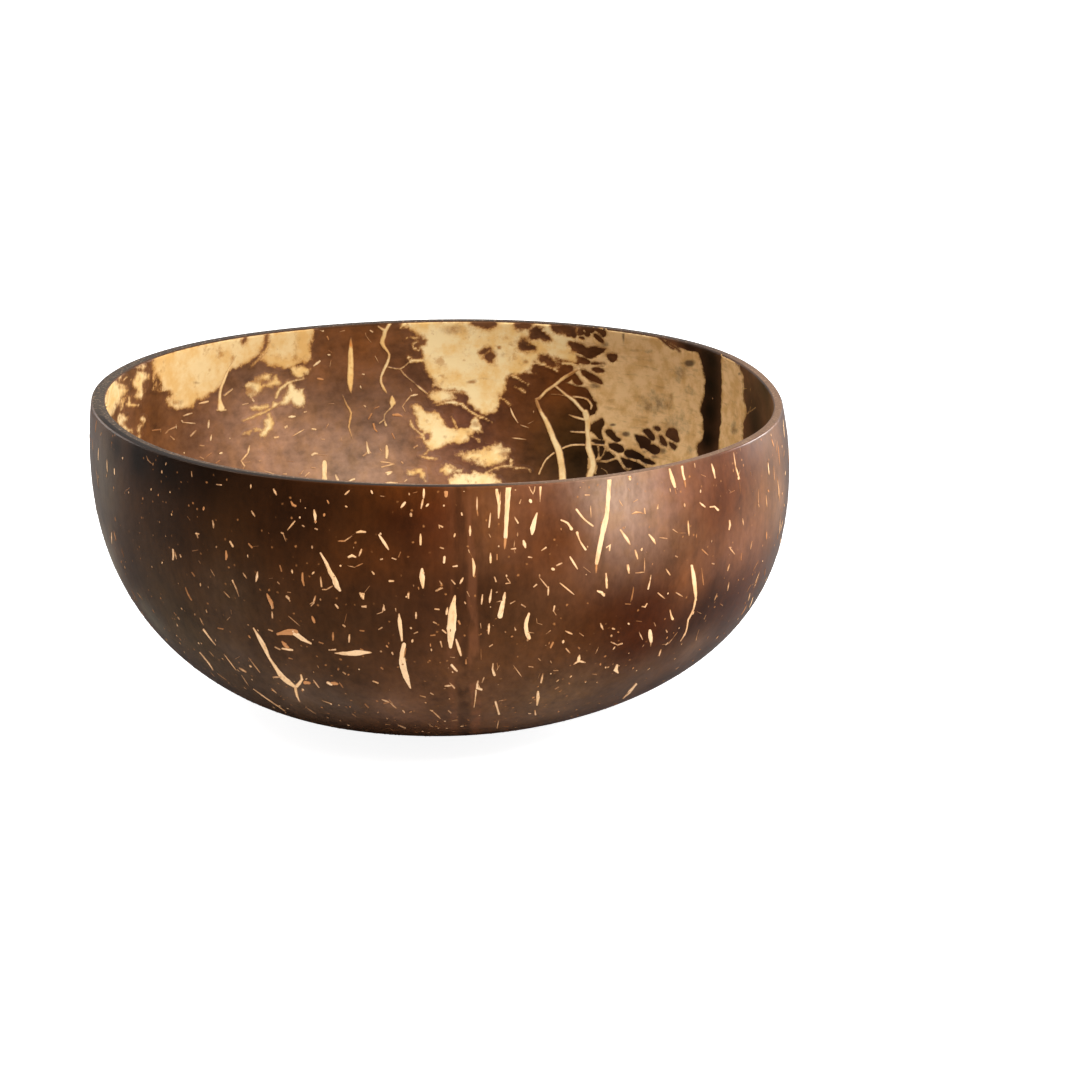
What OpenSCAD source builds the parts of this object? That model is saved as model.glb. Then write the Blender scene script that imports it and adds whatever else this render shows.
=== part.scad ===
// Coconut shell bowl: one grown half shell, cut level at the rim and sanded flat at the foot,
// with scraps of pale skin and pale veins left on its inside.
// Directions are in degrees, counted from the right side (+X) towards the back (+Y).
// A place on a wall is a direction and a depth share, 0 at the rim and 1 at the bottom middle.

/* [Shell] */
// Width at the widest level
widest_w = 140; // [125:1:155]
// Height from the foot to the rim
bowl_h = 62; // [56:1:68]
// Height of the widest level, averaged round the bowl
widest_level = 52; // [46:1:56]
// How much lower the widest level lies at the right side, and higher at the left
level_tilt = 10.5; // [0:0.5:12]
// Height that the rounding above the widest level would reach if it closed
crown_h = 65; // [55:1:80]
// How far the rim lies to the right of the foot
rim_lean = 6.8; // [0:0.1:10]
// Depth sanded off the round bottom to make the foot
foot_cut = 1.5; // [0.8:0.1:2]
// Fullness of the belly below the widest level, 2 for an ellipse
belly_power = 2.34; // [2:0.01:2.8]

/* [Wall] */
// Wall at the widest level, averaged round the bowl
wall_t = 2.4; // [2.2:0.1:4]
// How much thicker the wall is at its thick side, and thinner opposite
wall_uneven = 0.4; // [0:0.1:0.8]
// Thickness left in the middle of the foot
floor_t = 2.3; // [1.8:0.1:4]
// Radius of the eased edges of the rim
rim_ease = 0.4; // [0.2:0.05:0.8]

/* [Skin and veins] */
// Thickness of a scrap of inner skin
skin_t = 0.3; // [0.2:0.05:0.6]
// Thickness of a vein
vein_t = 0.3; // [0.2:0.05:0.6]
// Clearance between the wall and what lies on it
seat_gap = 0.1; // [0.08:0.01:0.2]
// Width of the big veins
vein_w = 1.2; // [0.6:0.1:2]
// Width of the fine veins
fine_vein_w = 0.8; // [0.4:0.1:1.5]
// Width of the long strand
strand_w = 1.5; // [0.8:0.1:2]

/* [Hidden] */

// Lobes of the grown outline: how many, their share of the radius, the direction of one of them
lobe_shares = [[2, 0.008, 128], [3, 0.0125, 50], [4, 0.0105, 55], [6, 0.002, 41], [7, 0.002, 35]];
// Direction of the thick side of the wall, at the left
thick_dir = 165;

// Steps round the bowl, down the outside, down the inside and round an eased edge
around_n = 90;
outside_n = 22;
inside_n = 22;
ease_n = 3;
// Steps down a scrap of skin, and the step along it in degrees
skin_rows_n = 4;
skin_step = 2.5;
// Small steps that measure the slope of the wall
slope_turn = 0.5;
slope_share = 0.004;

shell_color = [0.36, 0.2, 0.12];
skin_color = [0.88, 0.72, 0.46];
vein_color = [0.9, 0.76, 0.52];

// The grown form

function total(v, i = 0) = i == len(v) ? 0 : v[i] + total(v, i + 1);
function lobes(dir) = 1 + total([for (s = lobe_shares) s[1] * cos(s[0] * (dir - s[2]))]);
function widest_z(dir) = widest_level - level_tilt * cos(dir);
function wall_at(dir) = wall_t + wall_uneven * cos(dir - thick_dir);

// Share of the full radius at height z, for a form whose round bottom is at bottom_z
function fullness(dir, z, bottom_z) =
    let (wz = widest_z(dir))
    z > wz ? sqrt(1 - pow((z - wz) / crown_h, 2))
           : pow(max(0, 1 - pow((wz - z) / (wz - bottom_z), belly_power)), 1 / belly_power);

function outer_r(dir, z) = widest_w / 2 * lobes(dir) * fullness(dir, z, -foot_cut);
function inner_r(dir, z) = (widest_w / 2 * lobes(dir) - wall_at(dir)) * fullness(dir, z, floor_t);
function lean_x(z) = rim_lean * z / bowl_h;
function place(dir, r, z) = [r * cos(dir) + lean_x(z), r * sin(dir), z];

// Depth share to height on the inside and on the outside
function inner_z(share) = floor_t + (bowl_h - floor_t) * (1 - sin(90 * share));
function outer_z(share) = -foot_cut + (bowl_h + foot_cut) * (1 - sin(90 * share));
foot_share = asin(bowl_h / (bowl_h + foot_cut)) / 90;

// Radius and height of each point of the wall's section, from the inside bottom over the rim to the foot
ease_angles = [for (i = [0:ease_n]) 90 * i / ease_n];
rim_low_z = bowl_h - rim_ease;
function section(dir) = concat(
    [for (i = [inside_n - 1:-1:1])
        let (z = min(inner_z(i / inside_n), rim_low_z)) [inner_r(dir, z), z]],
    [for (t = ease_angles)
        [inner_r(dir, rim_low_z) + rim_ease * (1 - cos(t)), rim_low_z + rim_ease * sin(t)]],
    [for (i = [ease_n:-1:0]) let (t = ease_angles[i])
        [outer_r(dir, rim_low_z) - rim_ease * (1 - cos(t)), rim_low_z + rim_ease * sin(t)]],
    [for (i = [1:outside_n])
        let (z = max(0, outer_z(foot_share * i / outside_n))) [outer_r(dir, z), z]]);

module shell() {
    sections = [for (k = [0:around_n - 1]) section(360 * k / around_n)];
    rings_n = len(sections[0]);
    points = concat(
        [for (k = [0:around_n - 1], s = sections[k]) place(360 * k / around_n, s[0], s[1])],
        [[lean_x(floor_t), 0, floor_t], [0, 0, 0]]);
    inside_middle = around_n * rings_n;
    foot_middle = inside_middle + 1;
    faces = concat(
        [for (k = [0:around_n - 1], i = [0:rings_n - 2])
            let (a = k * rings_n + i, b = (k + 1) % around_n * rings_n + i)
            each [[a, b, b + 1], [a, b + 1, a + 1]]],
        [for (k = [0:around_n - 1])
            let (a = k * rings_n, b = (k + 1) % around_n * rings_n)
            each [[inside_middle, b, a], [foot_middle, a + rings_n - 1, b + rings_n - 1]]]);
    color(shell_color) polyhedron(points, faces);
}

// What lies on the inside of the wall

function cross_unit(a, b) = let (c = cross(a, b)) c / norm(c);
function wall_point(dir, share) = let (z = inner_z(share)) place(dir, inner_r(dir, z), z);
function wall_normal(dir, share) = cross_unit(
    wall_point(dir + slope_turn, share) - wall_point(dir, share),
    wall_point(dir, share + slope_share) - wall_point(dir, share));
function on_wall(dir, share, off) = wall_point(dir, share) + off * wall_normal(dir, share);

// A closed solid from a sheet of points, rows by columns, and the same sheet shifted
module thick_sheet(near, far) {
    rows = len(near);
    cols = len(near[0]);
    far_start = rows * cols;
    edge = concat(
        [for (c = [0:cols - 1]) c],
        [for (r = [1:rows - 1]) r * cols + cols - 1],
        [for (c = [cols - 2:-1:0]) (rows - 1) * cols + c],
        [for (r = [rows - 2:-1:1]) r * cols]);
    edge_n = len(edge);
    faces = concat(
        [for (r = [0:rows - 2], c = [0:cols - 2])
            let (a = r * cols + c, b = a + cols, f = far_start)
            each [[a, a + 1, b + 1], [a, b + 1, b],
                  [f + a, f + b + 1, f + a + 1], [f + a, f + b, f + b + 1]]],
        [for (i = [0:edge_n - 1])
            let (a = edge[i], b = edge[(i + 1) % edge_n], f = far_start)
            each [[a, f + b, b], [a, f + a, f + b]]]);
    polyhedron([each [for (row = near) each row], each [for (row = far) each row]], faces);
}

// Columns in between the ones chosen by hand: direction, upper share, lower share
function fill_columns(cols) = [
    for (i = [0:len(cols) - 2])
        let (a = cols[i], b = cols[i + 1], n = max(1, ceil(abs(b[0] - a[0]) / skin_step)))
        each [for (j = [0:n - 1]) a + (b - a) * j / n],
    cols[len(cols) - 1]];

// A scrap of skin, from columns that run from the left to the right of the scrap
module skin(column_shares) {
    cols = fill_columns(column_shares);
    function sheet(off) = [for (r = [0:skin_rows_n])
        [for (c = cols) on_wall(c[0], c[1] + (c[2] - c[1]) * r / skin_rows_n, off)]];
    color(skin_color) thick_sheet(sheet(seat_gap + skin_t), sheet(seat_gap));
}

// Points in between the ones chosen by hand along a vein: direction, depth share
function fill_route(route) = [
    for (i = [0:len(route) - 2])
        let (a = route[i], b = route[i + 1], gap = norm(wall_point(b[0], b[1]) - wall_point(a[0], a[1])),
             n = max(1, ceil(gap / (2 * vein_w))))
        each [for (j = [0:n - 1]) a + (b - a) * j / n],
    route[len(route) - 1]];

// A vein along a route, thinner at its ends by end_share
module vein(route_shares, width, end_share = 0.5) {
    route = fill_route(route_shares);
    last = len(route) - 1;
    function heading(i) =
        let (a = route[max(0, i - 1)], b = route[min(last, i + 1)])
        wall_point(b[0], b[1]) - wall_point(a[0], a[1]);
    function half_w(i) = width / 2 * (end_share + (1 - end_share) * sin(180 * i / last));
    function edge_points(sign, off) = [for (i = [0:last])
        let (n = wall_normal(route[i][0], route[i][1]), side = cross_unit(heading(i), n))
        on_wall(route[i][0], route[i][1], off) + sign * half_w(i) * side];
    function sheet(off) = [edge_points(-1, off), edge_points(1, off)];
    color(vein_color) thick_sheet(sheet(seat_gap + vein_t), sheet(seat_gap));
}

module skin_far_left() {
    skin([[182, 0.006, 0.05], [177, 0.006, 0.08], [171, 0.012, 0.1], [165, 0.02, 0.115], [160, 0.035, 0.11]]);
}

module skin_left() {
    skin([[154, 0.006, 0.03], [151, 0.006, 0.06], [148, 0.006, 0.11], [145, 0.006, 0.125],
          [142, 0.006, 0.135], [138, 0.006, 0.105], [134, 0.006, 0.085], [130, 0.006, 0.07],
          [126, 0.006, 0.08], [122, 0.006, 0.095], [119, 0.006, 0.08], [117, 0.006, 0.03]]);
}

module skin_left_low() {
    skin([[130, 0.13, 0.165], [128, 0.115, 0.2], [126, 0.11, 0.235], [124, 0.11, 0.2],
          [121, 0.115, 0.18], [118, 0.14, 0.19]]);
}

module skin_middle() {
    skin([[99, 0.006, 0.02], [97, 0.012, 0.08], [95, 0.018, 0.12], [92, 0.018, 0.165],
          [87, 0.012, 0.18], [82, 0.012, 0.19], [79, 0.012, 0.15], [77, 0.012, 0.09],
          [73, 0.02, 0.06], [70, 0.03, 0.05]]);
}

module skin_middle_low() {
    skin([[97, 0.2, 0.235], [95, 0.2, 0.27], [91, 0.2, 0.28], [88, 0.22, 0.27], [84, 0.23, 0.26]]);
}

module skin_low() {
    skin([[88, 0.32, 0.335], [85, 0.31, 0.35], [81, 0.305, 0.355], [78, 0.31, 0.33]]);
}

module skin_right() {
    skin([[58, 0.012, 0.2], [55, 0.008, 0.21], [52, 0.008, 0.2], [49, 0.01, 0.19],
          [46, 0.015, 0.2], [43, 0.02, 0.27], [40, 0.025, 0.265], [38, 0.03, 0.25]]);
}

module skin_strip() {
    skin([[32, 0.012, 0.23], [29, 0.01, 0.21], [26, 0.014, 0.19], [23, 0.04, 0.15]]);
}

module strand_long() {
    vein([[110, 0.035], [109.5, 0.1], [109, 0.16]], strand_w, 0.4);
}

module vein_left() {
    vein([[135, 0.115], [135.5, 0.14], [136, 0.165]], vein_w, 0.7);
}

module vein_middle() {
    vein([[103.5, 0.01], [103.2, 0.055], [102, 0.08], [103, 0.125], [102.5, 0.16], [101, 0.195], [101.5, 0.24]],
         fine_vein_w);
}

module vein_main() {
    vein([[61, 0.055], [66, 0.1], [70, 0.145], [74, 0.182], [72, 0.225], [70, 0.265], [67.5, 0.32], [66, 0.37]],
         vein_w);
}

module vein_link() {
    vein([[67.5, 0.295], [66, 0.288], [64, 0.286]], fine_vein_w, 0.7);
}

module vein_right() {
    vein([[66.5, 0.185], [64, 0.21], [62.5, 0.285], [61, 0.32], [61, 0.36]], vein_w);
}

shell();
skin_far_left();
skin_left();
skin_left_low();
skin_middle();
skin_middle_low();
skin_low();
skin_right();
skin_strip();
strand_long();
vein_left();
vein_middle();
vein_main();
vein_link();
vein_right();
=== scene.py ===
# coconut shell bowl, with scraps of pale skin and veins left inside
import math, random
import bpy
import numpy as np
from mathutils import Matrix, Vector, noise
from mathutils.bvhtree import BVHTree
from mathutils.kdtree import KDTree


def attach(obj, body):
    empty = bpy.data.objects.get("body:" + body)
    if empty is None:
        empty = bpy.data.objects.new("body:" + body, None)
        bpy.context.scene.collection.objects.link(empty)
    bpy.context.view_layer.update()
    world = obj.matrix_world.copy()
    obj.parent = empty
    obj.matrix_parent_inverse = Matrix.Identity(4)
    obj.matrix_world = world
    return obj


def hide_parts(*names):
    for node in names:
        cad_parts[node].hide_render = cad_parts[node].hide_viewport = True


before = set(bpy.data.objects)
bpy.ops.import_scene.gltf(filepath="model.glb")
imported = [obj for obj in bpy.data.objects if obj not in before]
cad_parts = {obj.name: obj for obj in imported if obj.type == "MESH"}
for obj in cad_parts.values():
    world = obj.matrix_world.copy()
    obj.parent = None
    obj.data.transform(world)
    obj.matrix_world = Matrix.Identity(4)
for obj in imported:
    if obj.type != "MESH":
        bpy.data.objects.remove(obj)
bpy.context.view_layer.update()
print("frame loaded")

mm = 0.001
random.seed(7)


# camera as the photograph was taken; marks below are read in its 1080 x 1080 pixels
view = {"lens": 109.03, "sensor": 36, "tilt": 16.267, "distance": 0.65, "lookAt": (0.0247, 0, 0.0321), "frame": 1080,
        "clip": 0.01}
tilt = math.radians(view["tilt"])
ahead = Vector((0, math.cos(tilt), -math.sin(tilt)))
upward = Vector((0, math.sin(tilt), math.cos(tilt)))
sideways = Vector((1, 0, 0))
eye = Vector(view["lookAt"]) - ahead * view["distance"]
focal = view["lens"] / view["sensor"] * view["frame"]

bpy.ops.object.camera_add(location=eye, rotation=(math.radians(90) - tilt, 0, 0))
camera = bpy.context.object
camera.name = "bowlCamera"
camera.data.lens = view["lens"]
camera.data.sensor_width = view["sensor"]
camera.data.clip_start = view["clip"]
bpy.context.scene.camera = camera


def pixelRay(px, py):
    half = view["frame"] / 2
    return (ahead + sideways * (px - half) / focal + upward * (half - py) / focal).normalized()


def headed(turn, rise):  # a direction: turn in degrees, rise as a share of its length
    flat = math.sqrt(1 - rise * rise)
    return Vector((math.cos(math.radians(turn)) * flat, math.sin(math.radians(turn)) * flat, rise))


def held(value, low=0, high=1):
    return min(max(value, low), high)


def linear(red, green, blue):  # a colour as read off a screen, 0 to 255, made linear
    parts = [c / 255 for c in (red, green, blue)]
    return tuple(c / 12.92 if c < 0.04045 else ((c + 0.055) / 1.055) ** 2.4 for c in parts)


# one socket, so that shader sums can be written as plain sums
class Wire:
    def __init__(self, tree, socket):
        self.tree, self.socket = tree, socket

    def sum(self, operation, *terms):
        return addNode(self.tree, "ShaderNodeMath", {"operation": operation}, dict(enumerate(terms)))

    def __add__(self, other): return self.sum("ADD", self, other)
    def __radd__(self, other): return self.sum("ADD", other, self)
    def __sub__(self, other): return self.sum("SUBTRACT", self, other)
    def __rsub__(self, other): return self.sum("SUBTRACT", other, self)
    def __mul__(self, other): return self.sum("MULTIPLY", self, other)
    def __rmul__(self, other): return self.sum("MULTIPLY", other, self)


def addNode(tree, kind, settings=None, inputs=None, out=0):
    node = tree.nodes.new(kind)
    for name, value in (settings or {}).items():
        setattr(node, name, value)
    for name, value in (inputs or {}).items():
        if isinstance(value, Wire):
            tree.links.new(value.socket, node.inputs[name])
        elif isinstance(value, tuple) and len(value) == 3 and node.inputs[name].type == "RGBA":
            node.inputs[name].default_value = (*value, 1)
        else:
            node.inputs[name].default_value = value
    return Wire(tree, node.outputs[out])


def otherOut(wire, name):  # another output of the node that a wire comes from
    return Wire(wire.tree, wire.socket.node.outputs[name])


def newMaterial(name):
    material = bpy.data.materials.new(name)
    material.use_nodes = True
    tree = material.node_tree
    return material, tree, tree.nodes["Principled BSDF"]


def plug(tree, value, node, name):
    tree.links.new(value.socket, node.inputs[name])


def coat(tree, shader, colour, rough, normal, specular, tint=(1, 1, 1)):  # what every finish of the bowl ends with
    plug(tree, colour, shader, "Base Color")
    plug(tree, rough, shader, "Roughness")
    plug(tree, normal, shader, "Normal")
    shader.inputs["Specular IOR Level"].default_value = specular
    shader.inputs["Specular Tint"].default_value = (*tint, 1)


def mixColour(tree, share, first, second, blend="MIX"):
    settings = {"data_type": "RGBA", "blend_type": blend, "clamp_factor": True}
    return addNode(tree, "ShaderNodeMix", settings, {0: share, 6: first, 7: second}, out=2)


def ease(tree, value, low, high):  # 0 below low, 1 above high, soft between
    return addNode(tree, "ShaderNodeMapRange", {"interpolation_type": "SMOOTHSTEP"},
                   {"Value": value, "From Min": low, "From Max": high})


def between(tree, value, edges):  # 1 from the second edge to the third, in mm, soft towards the outer two
    a, b, c, d = (edge * mm for edge in edges)
    return ease(tree, value, a, b) * (1 - ease(tree, value, c, d))


def grain(tree, place, size, detail=3.0, rough=0.5, stretch=(1, 1, 1), turn=(0, 0, 0)):
    moved = addNode(tree, "ShaderNodeMapping", {}, {"Vector": place, "Rotation": turn, "Scale": stretch})
    return addNode(tree, "ShaderNodeTexNoise", {}, {"Vector": moved, "Scale": 1 / (size * mm), "Detail": detail,
                                                    "Roughness": rough})


def objectPlace(tree):
    return addNode(tree, "ShaderNodeTexCoord", out=3)


def attribute(tree, name, out=2):  # 2 gives a number, 0 a colour
    return addNode(tree, "ShaderNodeAttribute", {"attribute_name": name}, out=out)


def bump(tree, height, depth):
    return addNode(tree, "ShaderNodeBump", {}, {"Height": height, "Distance": depth * mm, "Strength": 0.5})


def deselect():
    if bpy.context.object and bpy.context.object.mode != "OBJECT":
        bpy.ops.object.mode_set(mode="OBJECT")
    bpy.ops.object.select_all(action="DESELECT")


def hold(piece):  # the one selected and active object
    deselect()
    piece.select_set(True)
    bpy.context.view_layer.objects.active = piece


def addToScene(piece):
    bpy.context.scene.collection.objects.link(piece)
    hold(piece)


def cornersOf(mesh):
    corners = np.zeros(len(mesh.vertices) * 3)
    mesh.vertices.foreach_get("co", corners)
    return corners.reshape(-1, 3)


def numberEach(mesh, label, values):  # one number for each corner
    mesh.attributes.new(label, "FLOAT", "POINT").data.foreach_set("value", np.asarray(values, np.float32))


def settle(piece, node, material):  # a finished piece: smooth, painted, riding, in place of its CAD node
    piece.data.shade_smooth()
    piece.data.materials.clear()
    piece.data.materials.append(material)
    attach(piece, "root")
    if node:
        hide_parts(node)
    print(" ", piece.name, len(piece.data.polygons), "faces")


print("tools ready")


# the wall: a copy of its CAD node, merged, made quads and rounded; merge, rimBand and rimDepth in mm, heart in m
wall = {"levels": 2, "merge": 0.002, "rimBand": 0.75, "rimTurn": 0.965, "rimDepth": 1.5, "heart": (0.0035, 0, 0.04)}
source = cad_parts["shell"]
bowlWall = source.copy()
bowlWall.data = source.data.copy()
bowlWall.name = "bowlWall"
addToScene(bowlWall)
bpy.ops.object.mode_set(mode="EDIT")
bpy.ops.mesh.select_all(action="SELECT")
bpy.ops.mesh.remove_doubles(threshold=wall["merge"] * mm)
bpy.ops.mesh.tris_convert_to_quads()
bpy.ops.object.mode_set(mode="OBJECT")
rounding = bowlWall.modifiers.new("rounding", "SUBSURF")
rounding.levels = rounding.render_levels = wall["levels"]
bpy.ops.object.modifier_apply(modifier="rounding")
wallMesh = bowlWall.data
rimLevel = max(v.co.z for v in wallMesh.vertices)
heart = Vector(wall["heart"])


def faceSide(face):  # 0 polished outside, 1 sanded rim, 2 inside
    if face.center.z > rimLevel - wall["rimBand"] * mm and face.normal.z > wall["rimTurn"]:
        return 1
    return 2 if face.normal.dot(heart - face.center) > 0 else 0


sides = [faceSide(face) for face in wallMesh.polygons]
corners = [v.co.copy() for v in wallMesh.vertices]


def facesOf(wanted):
    return [f.vertices[:] for f, side in zip(wallMesh.polygons, sides) if side == wanted]


outsideTree = BVHTree.FromPolygons(corners, facesOf(0))
insideTree = BVHTree.FromPolygons(corners, facesOf(2))
landing = {"drops": (0, 0.35, 0.7, 1.1, 1.6, 2.2, 3), "tries": 3, "skip": 0.01}  # drops in pixels, skip in mm


def landOn(tree, px, py, reach=3.0):  # where a pixel's ray meets the wall's near face, or a little lower down
    for drop in landing["drops"]:
        if drop > reach:
            return None
        start, ray = eye, pixelRay(px, py + drop)
        for _ in range(landing["tries"]):
            spot, normal, _, _ = tree.ray_cast(start, ray)
            if spot is None:
                break
            if normal.dot(ray) < 0:
                return spot, normal, drop
            start = spot + ray * landing["skip"] * mm
    return None


# the wall's own colours mixed with painted light and shade, as soft dabs: pixel, radius in mm, colour, strength
outsideBase = linear(72, 42, 24)
# outside: painted highlights and sheen on the right shoulder, painted sheen along the left edge, painted reflection of
# the floor along the lower edge, painted shade on the left flank, and painted shade and dark reflection just under the
# rim at the near left, among the shell's own browns
outsideColourAndLightDabs = [
    (104, 480, 12, (96, 86, 74), 0.75), (150, 520, 14, (56, 32, 14), 0.8), (160, 600, 16, (56, 40, 24), 0.8),
    (215, 470, 13, (2, 1, 1), 0.98), (280, 505, 14, (12, 3, 2), 0.98), (230, 545, 12, (56, 30, 6), 0.7),
    (320, 560, 15, (68, 34, 10), 0.8), (345, 510, 7, (130, 72, 32), 0.85), (395, 525, 10, (50, 14, 2), 0.9),
    (445, 540, 13, (60, 20, 2), 0.9), (505, 560, 12, (30, 14, 6), 0.85), (250, 680, 16, (62, 42, 22), 0.8),
    (340, 670, 16, (70, 44, 24), 0.8), (430, 640, 12, (68, 36, 20), 0.7), (470, 700, 14, (112, 72, 44), 0.7),
    (570, 500, 12, (108, 60, 40), 0.8), (590, 560, 14, (94, 56, 30), 0.8), (650, 500, 14, (160, 124, 106), 0.9),
    (700, 540, 14, (110, 68, 36), 0.8), (728, 490, 8, (80, 26, 2), 0.8), (765, 500, 9, (132, 88, 54), 0.7),
    (610, 625, 9, (46, 10, 0), 0.95), (660, 610, 9, (58, 15, 0), 0.8), (705, 600, 8, (50, 12, 0), 0.7),
    (580, 640, 8, (82, 40, 8), 0.7), (650, 665, 11, (74, 44, 26), 0.8), (560, 700, 12, (112, 82, 58), 0.8),
    (612, 492, 8, (178, 148, 126), 0.7), (690, 478, 8, (114, 70, 50), 0.7), (736, 468, 6, (112, 58, 22), 0.85),
    (776, 440, 6, (140, 94, 60), 0.7), (780, 500, 6, (148, 106, 76), 0.7), (745, 580, 9, (82, 38, 16), 0.7),
    (110, 555, 8, (136, 124, 110), 0.85), (190, 640, 10, (80, 62, 42), 0.7), (300, 700, 10, (86, 66, 52), 0.7),
    (390, 580, 9, (72, 34, 10), 0.7), (520, 510, 8, (116, 70, 46), 0.7), (370, 620, 9, (68, 40, 20), 0.7),
    (520, 640, 10, (84, 50, 26), 0.7), (415, 506, 7, (126, 64, 18), 0.8), (360, 535, 8, (84, 44, 12), 0.8),
    (385, 548, 7, (84, 42, 14), 0.75), (472, 520, 8, (134, 84, 50), 0.8), (560, 540, 8, (92, 46, 16), 0.8),
    (745, 540, 8, (124, 80, 56), 0.75), (715, 570, 7, (118, 74, 52), 0.78), (330, 498, 7, (34, 12, 2), 0.8),
    (640, 640, 7, (68, 26, 4), 0.8), (230, 600, 8, (74, 54, 38), 0.7), (398, 522, 5, (34, 10, 2), 0.7),
    (440, 512, 7, (64, 22, 4), 0.7), (442, 538, 6, (60, 22, 6), 0.5), (400, 600, 7, (54, 30, 16), 0.6),
    (706, 600, 7, (36, 9, 0), 0.8), (300, 522, 8, (32, 12, 3), 0.6), (720, 508, 6, (84, 42, 16), 0.75),
    (752, 462, 5, (98, 56, 30), 0.6), (152, 618, 5, (110, 100, 86), 0.7), (474, 602, 5, (62, 34, 18), 0.5),
    (690, 581, 5, (136, 80, 42), 0.4), (732, 602, 6, (52, 16, 0), 0.7), (117, 447, 3.5, (20, 10, 4), 0.85),
    (138, 458, 6, (8, 2, 1), 0.92), (166, 466, 6, (6, 2, 0), 0.92), (200, 478, 5, (16, 4, 0), 0.5),
    (165, 520, 5, (44, 28, 18), 0.6), (392, 710, 6, (124, 90, 70), 0.6), (342, 704, 6, (88, 72, 60), 0.5),
    (640, 678, 6, (98, 76, 62), 0.5), (692, 650, 5, (116, 88, 70), 0.55), (450, 714, 5, (78, 56, 42), 0.5),
    (235, 656, 6, (84, 66, 54), 0.5), (296, 692, 5, (104, 80, 64), 0.4)]
insideBase = linear(110, 72, 46)
# inside: painted sheen on the floor and low on the left, painted shade along the skins' lower edges and over the
# right-hand wall, among the shell's own browns
insideColourAndLightDabs = [
    (244, 374, 4.5, (66, 36, 16), 0.8), (350, 332, 6, (62, 32, 16), 0.8), (402, 376, 5, (86, 46, 22), 0.8),
    (300, 430, 9, (138, 98, 70), 0.7), (210, 425, 8, (90, 52, 30), 0.7), (420, 455, 8, (150, 102, 72), 0.7),
    (365, 425, 7, (130, 90, 70), 0.7), (600, 400, 6, (70, 38, 16), 0.8), (520, 400, 7, (86, 48, 22), 0.8),
    (115, 360, 6, (84, 54, 34), 0.7), (150, 420, 8, (104, 62, 30), 0.8), (260, 440, 14, (174, 132, 104), 0.7),
    (360, 455, 14, (176, 140, 114), 0.7), (330, 360, 9, (116, 72, 42), 0.7), (360, 400, 10, (108, 76, 56), 0.7),
    (365, 345, 7, (128, 78, 42), 0.7), (470, 430, 10, (108, 66, 52), 0.7), (540, 420, 12, (96, 56, 30), 0.9),
    (570, 385, 8, (106, 58, 26), 0.9), (575, 440, 9, (86, 56, 28), 0.9), (580, 465, 9, (48, 32, 12), 0.9),
    (640, 460, 12, (18, 6, 2), 0.9), (600, 335, 7, (74, 44, 20), 0.8), (712, 360, 5, (4, 2, 2), 1),
    (711, 385, 5, (2, 2, 2), 1), (710, 412, 5, (2, 2, 2), 1), (708, 440, 5, (2, 2, 2), 1),
    (690, 345, 4, (22, 10, 4), 0.9), (765, 385, 8, (34, 24, 10), 0.95), (755, 420, 8, (8, 2, 2), 0.95)]


def placeDabs(tree, dabs):
    placed = []
    for px, py, radius, colour, strength in dabs:
        landed = landOn(tree, px, py)
        if landed:
            placed.append((landed[0], radius * mm, linear(*colour), strength))
    return placed


# places round the back, where the photograph shows nothing: turn in degrees, level and radius in mm
outsideFar = [(20, 30, 26, (122, 78, 52), 0.8), (60, 40, 28, (96, 56, 32), 0.8), (95, 22, 24, (82, 52, 34), 0.7),
              (130, 44, 26, (66, 38, 20), 0.8), (165, 26, 24, (74, 52, 36), 0.7)]
farMiddle, wellOutside = 3 * mm, 0.2  # the bowl's middle at their level, and further off than its wall, in m
outsideColourAndLightMarks = placeDabs(outsideTree, outsideColourAndLightDabs)
for turn, level, radius, colour, strength in outsideFar:
    outward = headed(turn, 0)
    spot = outsideTree.ray_cast(Vector((farMiddle, 0, level * mm)) + outward * wellOutside, -outward)[0]
    outsideColourAndLightMarks.append((spot, radius * mm, linear(*colour), strength))
insideColourAndLightMarks = placeDabs(insideTree, insideColourAndLightDabs)


# the tone is the wall's own colour together with the painted light and shade of the dabs
def toneAt(places, base, marks):
    places = np.asarray(places)
    tones = np.tile(np.array(base), (len(places), 1))
    for spot, radius, colour, strength in marks:
        away = np.linalg.norm(places - np.array(spot), axis=1) / radius
        share = (strength * np.exp(-away ** 2))[:, None]
        tones = tones * (1 - share) + np.array(colour) * share
    return tones


def outsideTone(places):
    return toneAt(places, outsideBase, outsideColourAndLightMarks)


def insideTone(places):
    return toneAt(places, insideBase, insideColourAndLightMarks)


def paintTone(mesh, tones):
    layer = mesh.color_attributes.new(name="tone", type="FLOAT_COLOR", domain="POINT")
    layer.data.foreach_set("color", np.hstack([tones, np.ones((len(tones), 1))]).astype(np.float32).ravel())


inner = np.zeros(len(corners), bool)
inner[[i for face in facesOf(2) for i in face]] = True
spots = np.array([tuple(c) for c in corners])
paintTone(wallMesh, np.where(inner[:, None], insideTone(spots), outsideTone(spots)))

# how far in from its outer edge each corner of the rim lies, in mm
outer = {i for face in facesOf(0) for i in face if corners[i].z > rimLevel - wall["rimDepth"] * mm}
outerEdge = KDTree(len(outer))
for i in outer:
    outerEdge.insert(corners[i], i)
outerEdge.balance()
inset = np.zeros(len(corners))
for i in {i for face in facesOf(1) for i in face}:
    inset[i] = outerEdge.find(corners[i])[2] / mm
numberEach(wallMesh, "inset", inset)
print("wall rounded:", len(wallMesh.polygons), "quads")


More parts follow.
